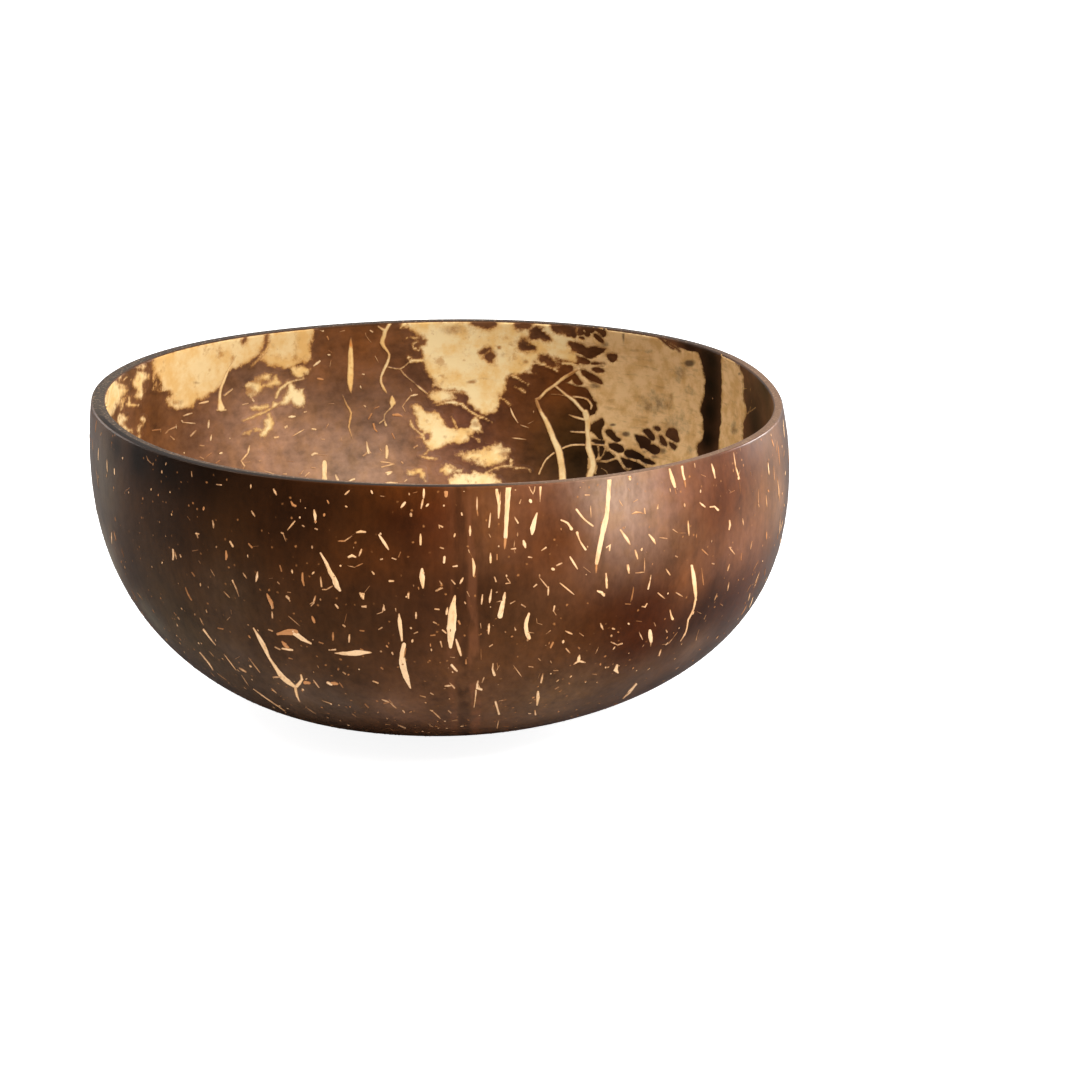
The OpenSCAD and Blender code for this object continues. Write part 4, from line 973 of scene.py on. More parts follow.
# flecks of pale tissue, flush with the polished wall: pixel across, pixel down, width in pixels
outsidePale = [
    [(609.5, 477.5, 4.8), (607, 513, 5.4), (604, 526, 5.9), (599, 550.5, 5.6), (596.5, 563.5, 4)],
    [(508.5, 484.5, 7), (507, 510, 5.9), (505.5, 537, 4.3)],
    [(496.5, 486.5, 2.7), (497, 493, 4.3), (499, 502, 4), (498.5, 518, 1.6)], [(500.5, 492, 1.3), (499.5, 502, 2.1)],
    [(537, 513, 1.6), (534.5, 521, 4.6), (532.5, 529, 5.9), (532, 534, 2.4)], [(540.5, 484, 3.7), (540, 502, 0.8)],
    [(529, 486, 1.3), (533, 494, 1.9), (535, 486.5, 1.3)], [(477, 497, 1.6), (477, 510, 2.7)],
    [(470, 526, 2.4), (470, 535.5, 3.2)], [(463.5, 486.5, 3.7), (464, 491.5, 2.7)],
    [(461.5, 513, 3.2), (462, 515, 3.2)], [(490.5, 513, 1.9), (489, 527.5, 2.4)],
    [(439.5, 525.5, 2.9), (442.5, 527, 3.2)], [(440, 547.5, 2.4), (443.5, 548.5, 2.9)],
    [(444.5, 557, 4.6), (444, 562.5, 4)], [(453, 566.5, 2.7), (457, 566, 3.7)],
    [(468.5, 550, 2.7), (469.5, 552.5, 2.4)], [(472.5, 558.5, 1.9), (474, 566.5, 3.7), (473.5, 576, 1.9)],
    [(490.5, 553, 2.7), (490.5, 562.5, 3.2)], [(514.5, 540.5, 0.8), (514, 546.5, 1.9)],
    [(511, 549, 2.1), (515.5, 548.5, 3.7)], [(514.5, 550.5, 1.9), (515, 553, 1.6)],
    [(523.5, 541, 4), (525.5, 547.5, 3.7)], [(528.5, 557, 2.9), (532, 557.5, 2.7)],
    [(541.5, 550.5, 2.1), (546, 547.5, 3.5)], [(514.5, 517, 1.9), (518, 523, 2.7)],
    [(521, 499.5, 1.6), (519.5, 503.5, 2.4)], [(512, 485.5, 1.6), (515.5, 490, 2.9)],
    [(556.5, 565.5, 2.4), (562, 563, 2.1)], [(561, 520, 1.9), (567.5, 523, 2.7), (571.5, 529, 3.5)],
    [(576.5, 509.5, 2.7), (584, 519, 2.1), (593, 526, 2.1)], [(590.5, 506, 1.9), (591, 517.5, 1.3)],
    [(577, 532.5, 2.9), (580, 541, 1.9), (585.5, 549.5, 2.9)], [(570, 557, 2.9), (577.5, 569, 1.9)],
    [(583.5, 567, 1.3), (590.5, 572.5, 1.1)], [(539, 577, 1.3), (548.5, 588.5, 1.9)],
    [(548.5, 586.5, 2.1), (548, 595, 2.4)], [(560, 583, 2.1), (574, 594.5, 1.6)],
    [(536.5, 584.5, 2.9), (533.5, 587, 1.9)], [(606, 574, 2.1), (607, 588, 2.7)],
    [(597.5, 591, 2.1), (601.5, 592.5, 4), (604, 595.5, 2.7)],
    [(606.5, 547.5, 2.4), (610, 545, 3.2), (609.5, 550.5, 1.9)], [(621, 530.5, 2.9), (630, 544.5, 2.4)],
    [(628, 565, 3.5), (629, 572.5, 2.1)], [(635.5, 550.5, 2.7), (637.5, 558.5, 2.9)],
    [(635.5, 573, 1.9), (640, 572.5, 1.6)], [(629.5, 475.5, 4.8), (630, 479.5, 4.6)],
    [(619, 500, 1.9), (622.5, 506, 1.9)], [(632, 514, 1.3), (636, 512, 2.4), (641, 512.5, 1.3)],
    [(585, 495, 2.4), (589.5, 495, 1.9)], [(581.5, 482, 2.1), (584, 482.5, 1.6)],
    [(628, 488.5, 1.9), (630, 491, 1.3)], [(633.5, 502, 1.6), (637.5, 499.5, 2.1)],
    [(439.5, 581, 1.6), (441.5, 584, 2.9)], [(435.5, 591, 1.9), (442.5, 588, 2.7)],
    [(451.5, 580, 2.4), (455, 584, 2.4)], [(463, 578, 2.7), (460, 583.5, 2.4)],
    [(494.5, 577, 2.7), (496, 581.5, 3.2)], [(506.5, 577.5, 1.1), (510.5, 583, 1.9)],
    [(510.5, 583, 1.9), (506, 583.5, 2.4)], [(467, 591.5, 2.1), (469.5, 596.5, 1.9)],
    [(482.5, 594.5, 1.9), (481.5, 604, 2.9)], [(491.5, 589.5, 2.1), (489.5, 602.5, 2.9)],
    [(505, 592.5, 1.9), (504, 604, 3.2)], [(502, 610.5, 4), (500.5, 614, 1.3)], [(489, 534, 2.1), (490.5, 537, 2.1)],
    [(455, 596, 2.4), (453, 606, 6.7), (452, 619.5, 11.2), (451, 633, 9.9), (450.5, 641.5, 5.9), (450.5, 647, 3.2)],
    [(447.5, 607.5, 2.1), (446.5, 614, 4)], [(442.5, 630, 3.2), (446, 633, 3.2)],
    [(440.5, 641.5, 2.7), (442, 647, 2.1)], [(456, 639.5, 1.9), (459, 649, 3.5), (461, 655.5, 1.9)],
    [(464.5, 602, 2.7), (465.5, 603.5, 2.7)], [(435, 609, 2.9), (439, 609.5, 2.7)],
    [(433.5, 622, 2.4), (436.5, 623.5, 2.4)], [(450, 657, 1.3), (454.5, 657.5, 1.9)],
    [(451.5, 665, 2.7), (454.5, 668.5, 3.7), (457, 671, 1.9)], [(480.5, 623.5, 1.9), (481, 628, 2.1)],
    [(489, 624, 2.9), (488.5, 634, 2.4)], [(503, 602, 4.8), (501, 611.5, 5.9), (500, 616, 6.7)],
    [(505, 592.5, 2.7), (503.5, 602, 4.6)], [(496.5, 602, 1.1), (503, 600.5, 1.6)],
    [(510.5, 603.5, 2.9), (515, 601, 1.6)], [(521.5, 604.5, 2.7), (525.5, 607, 2.1)],
    [(529, 613.5, 2.9), (526, 623.5, 4.8), (526.5, 631.5, 5.6), (529, 638, 4)], [(526.5, 632, 1.9), (534, 633, 1.1)],
    [(536.5, 618.5, 1.6), (537, 623, 1.3)], [(537, 623, 1.1), (542, 624.5, 1.6)],
    [(554.5, 606, 2.9), (553.5, 611, 2.7)], [(553.5, 611, 1.9), (556, 615, 1.9)],
    [(565.5, 631, 2.1), (572, 634, 2.7)], [(579.5, 633, 1.9), (583.5, 636, 1.9)],
    [(600.5, 623.5, 2.4), (603, 629.5, 2.1)], [(612.5, 628.5, 2.7), (614.5, 629, 2.4)],
    [(546, 634, 1.1), (550.5, 630.5, 1.9)], [(514.5, 627, 1.1), (515.5, 630, 2.7)],
    [(489.5, 646.5, 2.1), (492.5, 644.5, 2.7)], [(566, 648.5, 2.4), (570, 653, 1.9)],
    [(579.5, 655, 2.1), (578.5, 661, 5.4)], [(578.5, 661, 3.2), (573.5, 664.5, 1.1)],
    [(578.5, 661, 3.2), (585.5, 662.5, 1.1)], [(598.5, 647, 1.3), (595.5, 653.5, 1.3)],
    [(611, 642, 1.9), (617.5, 645, 1.6)], [(617.5, 645, 2.1), (622, 643.5, 2.7)],
    [(617, 665, 2.1), (615.5, 670.5, 4.8), (618, 672.5, 2.1)], [(538.5, 658.5, 2.1), (540.5, 660.5, 2.1)],
    [(550.5, 661, 2.1), (551.5, 663, 1.6)], [(528.5, 666.5, 2.1), (533, 667, 1.9)],
    [(553.5, 670.5, 1.6), (558, 670.5, 2.1)], [(592.5, 674, 1.3), (596.5, 674.5, 1.9)],
    [(513.5, 665.5, 1.1), (521.5, 676.5, 1.6)], [(493, 663.5, 1.3), (492.5, 669, 2.7), (494.5, 675, 2.9)],
    [(496.5, 670.5, 1.3), (499.5, 665, 1.3)], [(482, 682.5, 2.1), (484, 677.5, 2.4)],
    [(478, 681, 1.6), (477, 688, 3.2), (481.5, 689.5, 2.7)], [(478, 683.5, 1.3), (480, 689, 3.2)],
    [(476, 690, 1.9), (475.5, 697, 1.9), (474, 707, 1.3)], [(449.5, 682.5, 1.1), (454.5, 688, 2.7)],
    [(445, 686, 2.7), (451.5, 685.5, 2.4)], [(543, 673.5, 1.3), (541, 682.5, 2.9)],
    [(540, 673.5, 1.1), (538, 678.5, 1.3)], [(538, 692, 2.9), (538, 697, 4), (537, 705, 1.9)],
    [(535, 710.5, 2.4), (535.5, 714.5, 3.7)], [(555, 689, 1.9), (558.5, 687, 1.9)],
    [(636, 684, 2.7), (629.5, 692, 3.2), (623, 698.5, 1.1)], [(498.5, 701, 1.1), (506, 699.5, 1.3)],
    [(495.5, 702, 2.9), (497.5, 708.5, 2.1), (499, 714, 2.7)], [(430.5, 693, 2.7), (433.5, 694.5, 2.1)],
    [(430, 710, 1.9), (432.5, 711, 3.2)], [(432.5, 711, 1.9), (440.5, 718.5, 2.1)],
    [(448.5, 710.5, 2.4), (451, 713, 2.4)], [(452, 720.5, 1.3), (457, 720, 1.9)],
    [(498.5, 721, 2.1), (497, 728, 1.9)], [(504, 726.5, 1.1), (509.5, 726.5, 1.1)],
    [(430, 725.5, 1.6), (432.5, 726.5, 2.4)], [(273.5, 489, 2.7), (276.5, 495, 2.1)],
    [(251.5, 511, 2.4), (255, 516.5, 1.6)], [(300.5, 499.5, 1.6), (300.5, 502, 1.9)],
    [(295, 521, 2.1), (287.5, 530, 1.6)], [(281, 532.5, 1.9), (283, 533.5, 2.7)],
    [(283, 533.5, 1.9), (286, 541.5, 1.1)], [(302.5, 525.5, 2.7), (304, 526.5, 2.7)],
    [(314, 510, 1.6), (315, 515.5, 3.5), (315.5, 523, 1.6)], [(315, 528.5, 2.4), (317.5, 529.5, 2.7)],
    [(345, 494.5, 2.7), (349.5, 490.5, 1.9)], [(380.5, 496, 1.9), (384, 496.5, 1.9)],
    [(424, 488.5, 3.2), (423.5, 498, 2.7)], [(423, 499.5, 2.9), (421, 508.5, 2.1)],
    [(401, 507.5, 2.7), (405, 502.5, 4.3)], [(356.5, 532.5, 1.9), (360.5, 531.5, 3.5), (365.5, 532, 2.1)],
    [(344.5, 541, 2.1), (352, 536, 1.3)], [(379, 535, 2.4), (384, 542.5, 3.5), (388.5, 549.5, 1.6)],
    [(420.5, 534, 2.1), (420.5, 544.5, 3.2)], [(348.5, 557, 2.1), (352, 555.5, 3.7), (355.5, 557, 2.4)],
    [(361.5, 549.5, 2.9), (359, 556, 1.9)], [(380.5, 559.5, 2.9), (382.5, 559, 2.7)],
    [(392, 558, 2.4), (396, 559.5, 2.7)], [(347.5, 565.5, 1.1), (355, 567.5, 1.6)],
    [(372, 571.5, 2.9), (374, 574, 3.2)], [(389.5, 581, 3.5), (393.5, 581, 3.2)],
    [(408, 594, 3.2), (408.5, 598, 2.9)], [(422, 569, 2.7), (422, 577, 6.7), (423, 588, 1.9)],
    [(320.5, 553, 1.9), (326.5, 563.5, 3.2), (330, 572, 4.6)],
    [(330, 572, 4.6), (334, 578.5, 6.2), (337, 586.5, 5.4), (340, 590.5, 2.9)],
    [(320.5, 577, 1.6), (321.5, 586.5, 2.9)], [(322.5, 589.5, 1.9), (326.5, 589.5, 2.4)],
    [(326.5, 589.5, 2.1), (332.5, 586, 1.9)], [(360, 593, 2.1), (362.5, 596, 4.8), (363.5, 599, 1.9)],
    [(369.5, 586, 1.3), (364, 593, 1.1)], [(362, 606.5, 3.2), (366, 607, 2.7)],
    [(383.5, 604.5, 1.6), (384.5, 610, 2.9)], [(257.5, 572, 1.9), (257, 577, 3.2), (256, 581.5, 1.6)],
    [(243, 573, 1.6), (246.5, 578, 1.9)], [(277.5, 582, 2.1), (279.5, 584, 2.1)],
    [(269, 578.5, 0.8), (272.5, 578, 1.1)], [(287.5, 592, 1.9), (290.5, 592.5, 1.9)],
    [(286, 596.5, 2.1), (289, 599, 3.2)], [(232.5, 580.5, 1.9), (236, 588, 1.9), (239, 596.5, 0.8)],
    [(230, 541.5, 3.2), (233, 546.5, 4)], [(315.5, 596, 1.6), (313.5, 602, 2.7)],
    [(313.5, 602, 2.4), (310, 604, 1.6)], [(335, 604.5, 2.1), (338, 608, 2.9)], [(436, 590, 1.6), (441, 587.5, 2.1)],
    [(439, 525, 2.4), (439.5, 528, 2.7)], [(253.5, 628, 1.5), (263, 644.5, 5.3), (269, 657.5, 2.6)],
    [(269, 657.5, 2.6), (275, 666.5, 3.8), (282, 676.5, 6.5), (291, 684, 5), (296, 687.5, 2.1)],
    [(301, 675, 2.1), (302, 679.5, 3.5), (297, 686, 3.8)], [(295.5, 688.5, 3.8), (297, 695.5, 3.2), (300, 702, 0.9)],
    [(273, 677, 2.3), (281, 677, 1.8)], [(313.5, 680, 1.8), (319, 687.5, 2.6)],
    [(327.5, 682.5, 3.8), (331.5, 684.5, 4.4)], [(399, 614, 1.5), (400, 625, 5), (402, 640.5, 2.1)],
    [(395.5, 608.5, 2.1), (396, 611.5, 1.5)],
    [(404, 644.5, 4.4), (402.5, 653, 6.5), (402.5, 663.5, 8.5), (406, 676.5, 6.5), (410.5, 688, 2.1)],
    [(335, 653, 1.2), (346.5, 653.5, 4.4), (355.5, 653, 6.5), (364.5, 652.5, 4.4), (371.5, 652.5, 1.2)],
    [(330, 650, 2.1), (335.5, 649.5, 3.5)], [(294, 632.5, 6.5), (302.5, 639, 5.3), (311, 643.5, 2.1)],
    [(275, 647, 2.3), (280, 649.5, 2.6)], [(282, 648.5, 2.9), (292.5, 650, 3.8)],
    [(271.5, 604, 3.8), (272, 609, 1.5)], [(272, 611.5, 1.8), (272.5, 618, 2.6)],
    [(286.5, 596, 2.6), (289, 598, 3.5)], [(288.5, 616, 1.5), (300, 626, 1.2)], [(314, 602.5, 3.2), (311, 606, 2.3)],
    [(335.5, 604.5, 2.6), (337.5, 607, 3.5)], [(362.5, 606.5, 3.2), (366, 606, 2.9)],
    [(360.5, 593.5, 3.5), (364, 594, 2.9)], [(363, 595, 2.6), (362, 598.5, 2.3)],
    [(384, 605.5, 2.6), (382.5, 612, 2.1)], [(382.5, 612, 2.1), (377, 614, 1.5)],
    [(343, 625, 2.9), (345, 626.5, 3.2)], [(349.5, 634.5, 2.1), (349, 642, 2.9)],
    [(378.5, 629.5, 2.1), (382, 627.5, 2.9)], [(416, 612.5, 2.9), (416, 618.5, 2.6)],
    [(414, 633.5, 2.1), (417.5, 632, 2.6)], [(408.5, 593.5, 3.5), (408.5, 597.5, 2.9)],
    [(392, 652.5, 3.2), (393, 654.5, 2.6)], [(343, 672, 2.3), (345.5, 674, 2.6)], [(373, 681, 2.6), (378, 683, 3.8)],
    [(322, 700.5, 1.2), (332, 704, 1.5)], [(382, 699.5, 1.8), (389, 702, 2.1)],
    [(389, 699.5, 1.2), (392.5, 703.5, 1.8)], [(390.5, 703, 2.1), (396, 708, 1.8)],
    [(403, 710.5, 2.3), (404.5, 712.5, 2.1)], [(420, 695.5, 1.5), (425.5, 697, 2.3)],
    [(352.5, 714, 1.8), (356, 716.5, 1.5)], [(271, 688, 1.5), (276.5, 693, 1.8)],
    [(253.5, 689, 1.2), (266, 698, 1.8), (285, 711, 1.2)], [(305.5, 707, 1.2), (316, 714, 1.2)],
    [(200, 618, 1.8), (203.5, 625, 1.2)], [(203.5, 629.5, 2.1), (209, 637, 2.1), (215.5, 645, 1.2)],
    [(200, 652.5, 1.5), (209, 663.5, 2.1), (213, 670, 1.2)], [(224, 654, 1.2), (236, 670, 1.8)],
    [(248.5, 657.5, 0.9), (260, 672.5, 1.8)], [(239.5, 668, 2.1), (246, 672, 2.6)],
    [(217.5, 673.5, 1.5), (226.5, 680, 1.2)], [(209, 651, 1.5), (214, 656.5, 1.2)],
    [(241.5, 675, 1.5), (248.5, 685.5, 1.2)], [(230, 617, 1.2), (227, 620, 1.8)],
    [(231, 610, 1.2), (231.5, 614, 1.2)], [(224, 591.5, 1.5), (229.5, 597.5, 1.8)],
    [(236.5, 590, 1.2), (239, 596.5, 0.9)], [(268.5, 629.5, 2.3), (272.5, 631, 2.6)],
    [(385.5, 724.5, 1.8), (390.5, 724.5, 1.8)], [(398, 725, 1.5), (405.5, 728, 2.1)],
    [(235, 659, 1.2), (239.5, 656.5, 1.2)], [(214.5, 676.5, 1.2), (210.5, 672, 0.9)],
    [(669.5, 469, 2.5), (672, 478, 4.8), (675, 487, 3)], [(682, 466.5, 2.8), (683, 474.5, 2.5), (684.5, 479.5, 2.3)],
    [(711.5, 464, 1.6), (713.5, 470.5, 2.5), (715, 478, 1.4)], [(733.5, 452.5, 1.4), (735.5, 466.5, 1.8)],
    [(735.5, 466.5, 1.4), (739.5, 479, 2.8)], [(740, 470, 0.9), (738.5, 476.5, 1.6)],
    [(773.5, 466, 0.9), (774.5, 480, 1.4)], [(779, 488, 1.1), (779.5, 501, 0.9)],
    [(758.5, 489, 0.7), (758.5, 505, 1.1)], [(758.5, 504.5, 2.1), (759, 507, 1.4)],
    [(766, 495.5, 1.6), (767, 507, 1.4)], [(699.5, 502.5, 2.1), (705, 507, 2.5)],
    [(710, 507, 1.8), (714.5, 506.5, 2.3), (718, 510, 2.5)], [(728.5, 489.5, 1.1), (731, 492, 1.4)],
    [(658, 504.5, 1.4), (657.5, 508.5, 3.4)], [(644.5, 508.5, 2.8), (645, 513.5, 3)],
    [(688, 521, 2.1), (689, 535.5, 2.1)], [(729.5, 520.5, 1.8), (730, 525, 2.5), (729, 529.5, 1.8)],
    [(742.5, 518.5, 1.6), (743.5, 525, 1.8)], [(673, 529.5, 2.1), (677.5, 532.5, 1.6)],
    [(620.5, 530, 2.1), (627, 538.5, 2.5), (630, 544, 1.1)],
    [(649, 534.5, 1.6), (653.5, 540, 3.2), (655.5, 544, 1.1)], [(659.5, 537.5, 1.4), (667, 538.5, 2.1)],
    [(635, 550, 2.5), (637.5, 559, 2.1)], [(728.5, 547.5, 1.6), (731, 547.5, 2.3)],
    [(729, 547, 1.6), (734.5, 554, 2.1)], [(752, 541, 1.1), (750.5, 549, 1.8)], [(627, 565, 2.5), (629, 573, 2.8)],
    [(644.5, 558, 1.1), (644.5, 571, 1.8)], [(644.5, 572, 1.6), (636.5, 573, 1.8)],
    [(651, 575, 1.6), (650, 581, 1.8)], [(650, 581, 1.6), (648, 589, 3)], [(666, 569, 2.1), (670, 575, 2.3)],
    [(691.5, 565.5, 2.5), (694, 582.5, 3.7), (695, 592.5, 2.8), (696, 600, 2.3)],
    [(675.5, 556, 2.3), (677.5, 557, 2.1)], [(712, 563.5, 2.3), (714, 564, 2.3)],
    [(729.5, 564, 1.6), (727.5, 570.5, 2.5)], [(758.5, 560.5, 0.9), (753, 571, 0.7)],
    [(729, 582, 1.4), (727.5, 590.5, 1.6)], [(658, 593, 2.3), (664.5, 598.5, 1.6)],
    [(676, 592.5, 2.3), (682.5, 596.5, 1.4)], [(717, 593.5, 1.1), (714.5, 600, 1.6)],
    [(751, 584.5, 0.9), (747, 591.5, 0.9)], [(694.5, 463.5, 2.1), (695, 467.5, 1.4)],
    [(740, 448, 1.4), (740.5, 451, 1.1)], [(692, 565.5, 2.2), (694.5, 578.5, 3.5), (696, 595.5, 2.7)],
    [(696, 595.5, 2.4), (693.5, 609, 2), (688, 620, 1.8)], [(688, 620, 2), (686, 631.5, 2), (680.5, 641, 1.2)],
    [(606, 573.5, 1.8), (606.5, 580.5, 2.7), (606.5, 588, 1.4)], [(600, 593, 2), (604.5, 594, 3.3)],
    [(642, 606.5, 1.2), (645, 607, 2.4), (647, 603.5, 1.8)], [(670, 610, 1.2), (671, 615, 2.2), (672.5, 619, 3.1)],
    [(639, 632, 1.4), (642.5, 639.5, 2)], [(650, 630.5, 3.5), (650.5, 637.5, 5.1), (651, 641.5, 3.5)],
    [(651, 641.5, 3.3), (650.5, 646.5, 0.8)], [(654, 622.5, 1.6), (655.5, 626, 2)], [(666, 630, 2), (667, 632, 2.7)],
    [(677.5, 632, 1.2), (673, 638, 0.8)], [(673, 638, 0.8), (668.5, 643.5, 1.8)], [(668, 644, 1.4), (662, 644.5, 1)],
    [(661, 649.5, 1.4), (659, 655.5, 2.9)], [(612.5, 628, 2.2), (614.5, 629, 2.2)],
    [(601, 623.5, 1.2), (603.5, 629.5, 1.4)], [(618, 665, 1.2), (616, 669.5, 3.5), (618, 673, 1.6)],
    [(635.5, 683.5, 2), (629.5, 691.5, 2.2)], [(629.5, 691.5, 2.2), (623.5, 698, 0.6)],
    [(697, 611.5, 1), (701, 613.5, 1.6)], [(706, 615, 1.4), (704, 619, 1.6)], [(699, 629.5, 1), (697, 635.5, 0.8)],
    [(697, 635.5, 1), (696, 640, 1.8)], [(720.5, 604, 1.8), (722.5, 605.5, 1.8)],
    [(146.5, 456, 1), (148, 460, 1.5), (151.5, 463.5, 1)], [(191.5, 471.5, 1.8), (192, 476.5, 2)],
    [(216.5, 484.5, 1.5), (221.5, 485, 2.6)], [(212.5, 520.5, 1.5), (213.5, 524.5, 2.3), (213.5, 528, 1.3)],
    [(196, 533.5, 3.3), (199, 534, 2.6)], [(197, 534, 2.6), (198, 538, 2)],
    [(173, 549.5, 1.8), (173.5, 555, 2.3), (173, 559.5, 2)], [(175, 552, 1.3), (176.5, 559, 1.8)],
    [(180, 554.5, 2), (181, 557, 2.3)], [(199, 561, 1.8), (200.5, 563.5, 1.5)], [(210.5, 569, 1), (214.5, 576, 1.5)],
    [(137, 592.5, 1), (142.5, 599.5, 1)]]
outsideOrange = [
    [(596.5, 563.5, 3.5), (596, 573, 1.1)], [(505.5, 537, 4), (504.5, 549, 1.9)], [(477, 510, 2.4), (478, 516, 1.6)],
    [(446, 487.5, 4), (446, 496, 5.4)], [(470, 552.5, 1.1), (472.5, 558.5, 1.1)],
    [(497, 554.5, 2.4), (497, 559.5, 2.7)], [(633.5, 587, 1.6), (632, 600, 1.3)],
    [(430.5, 635.5, 2.1), (435, 635, 2.4)], [(458.5, 621, 3.5), (460, 624, 2.9)],
    [(466, 659.5, 2.1), (466, 663.5, 3.5)], [(481, 649, 1.3), (481, 659.5, 1.3)],
    [(553, 642.5, 4), (550.5, 647.5, 4)], [(497, 663, 1.6), (498, 667.5, 1.9)],
    [(633, 592.5, 1.9), (630.5, 602, 1.1)], [(625.5, 604, 2.1), (630.5, 604, 1.6)],
    [(291, 501.5, 1.9), (293, 505, 3.2), (295.5, 506, 2.7)], [(413, 493, 1.1), (417, 492, 1.9)],
    [(338, 541, 1.6), (345, 541, 2.4)], [(351, 535.5, 0.8), (356, 533, 0.8)], [(400.5, 552, 1.6), (398.5, 557, 2.1)],
    [(355, 567, 1.3), (362.5, 563.5, 1.9)], [(280, 565.5, 2.7), (281.5, 571, 2.7)],
    [(302.5, 573, 2.1), (302.5, 580, 2.4), (304, 585.5, 1.6)], [(248.5, 543.5, 2.4), (252, 547.5, 3.2)],
    [(253.5, 546.5, 1.3), (258.5, 546, 0.8)], [(267, 594, 1.9), (270, 600.5, 4), (273, 608, 2.7)],
    [(305, 682.5, 6.7), (309.5, 683, 5)], [(331.5, 683, 3.8), (337.5, 684, 4.4)],
    [(339.5, 682.5, 1.8), (343, 687.5, 1.8)], [(405.5, 648.5, 2.6), (404, 657.5, 2.1)],
    [(360.5, 649, 2.6), (363, 650, 2.1)], [(277.5, 634, 2.9), (288, 632, 6.5), (295.5, 632.5, 7.3)],
    [(282, 641.5, 2.6), (288, 648, 5.9)], [(269, 597.5, 2.1), (272, 603, 5.3)],
    [(312, 616.5, 3.2), (314.5, 622.5, 3.5)], [(315.5, 596, 2.3), (314, 602.5, 2.3)],
    [(346.5, 614, 1.2), (344.5, 623, 1.2)], [(333, 632.5, 2.3), (333, 640, 2.6)],
    [(319, 642, 2.1), (323, 643.5, 2.3)], [(360, 630.5, 2.3), (364, 631, 2.6)], [(381, 667.5, 2.3), (383, 669, 2.6)],
    [(365, 704, 2.6), (368.5, 707.5, 2.3)], [(383.5, 703.5, 1.8), (390.5, 702, 1.8)],
    [(218, 628, 2.1), (223, 629, 2.9)], [(289, 658, 2.1), (292.5, 659, 1.8)], [(675, 489, 1.4), (676, 493.5, 2.1)],
    [(684.5, 479.5, 2.1), (685.5, 487, 2.1)], [(739.5, 481.5, 0.9), (740.5, 494, 0.7)],
    [(729.5, 493, 1.4), (734.5, 490.5, 1.6)], [(663.5, 492, 0.9), (661.5, 497, 0.9)],
    [(632.5, 514, 1.1), (639.5, 512.5, 1.6), (643.5, 513.5, 1.1)], [(678, 533, 1.1), (685.5, 533, 1.4)],
    [(702, 549.5, 2.1), (708, 555, 1.4)], [(741.5, 553, 1.4), (741, 560, 1.6)],
    [(701.5, 568, 1.1), (703.5, 585, 1.8)], [(628, 475.5, 3.9), (630.5, 477.5, 4.4)],
    [(750.5, 471.5, 1.1), (751, 475.5, 1.4)], [(701, 474.5, 1.4), (705.5, 476.5, 1.8)],
    [(625.5, 604, 1.2), (630, 604.5, 1.6)], [(634, 588, 1), (632.5, 596.5, 0.8)],
    [(632.5, 596.5, 0.8), (631, 601.5, 1.2)], [(636.5, 621, 1.6), (641.5, 621.5, 1.4)],
    [(611, 641.5, 1.4), (617.5, 645.5, 1.4)], [(617.5, 646, 1.6), (621.5, 643.5, 1.6)],
    [(125.5, 491, 1.8), (129.5, 488, 1.8)], [(187.5, 516.5, 1.3), (190, 520, 1.5)],
    [(192.5, 551, 1.8), (198, 550, 2)], [(226, 551, 1.8), (226.5, 556, 3.3), (226, 559.5, 1.8)],
    [(192, 572.5, 2.6), (194.5, 576, 2.3)], [(185.5, 587.5, 1.3), (188, 594, 2), (191.5, 600, 1.8)],
    [(121.5, 549, 1), (124, 557.5, 1)], [(224.5, 592.5, 1.5), (228.5, 597, 1.5)]]
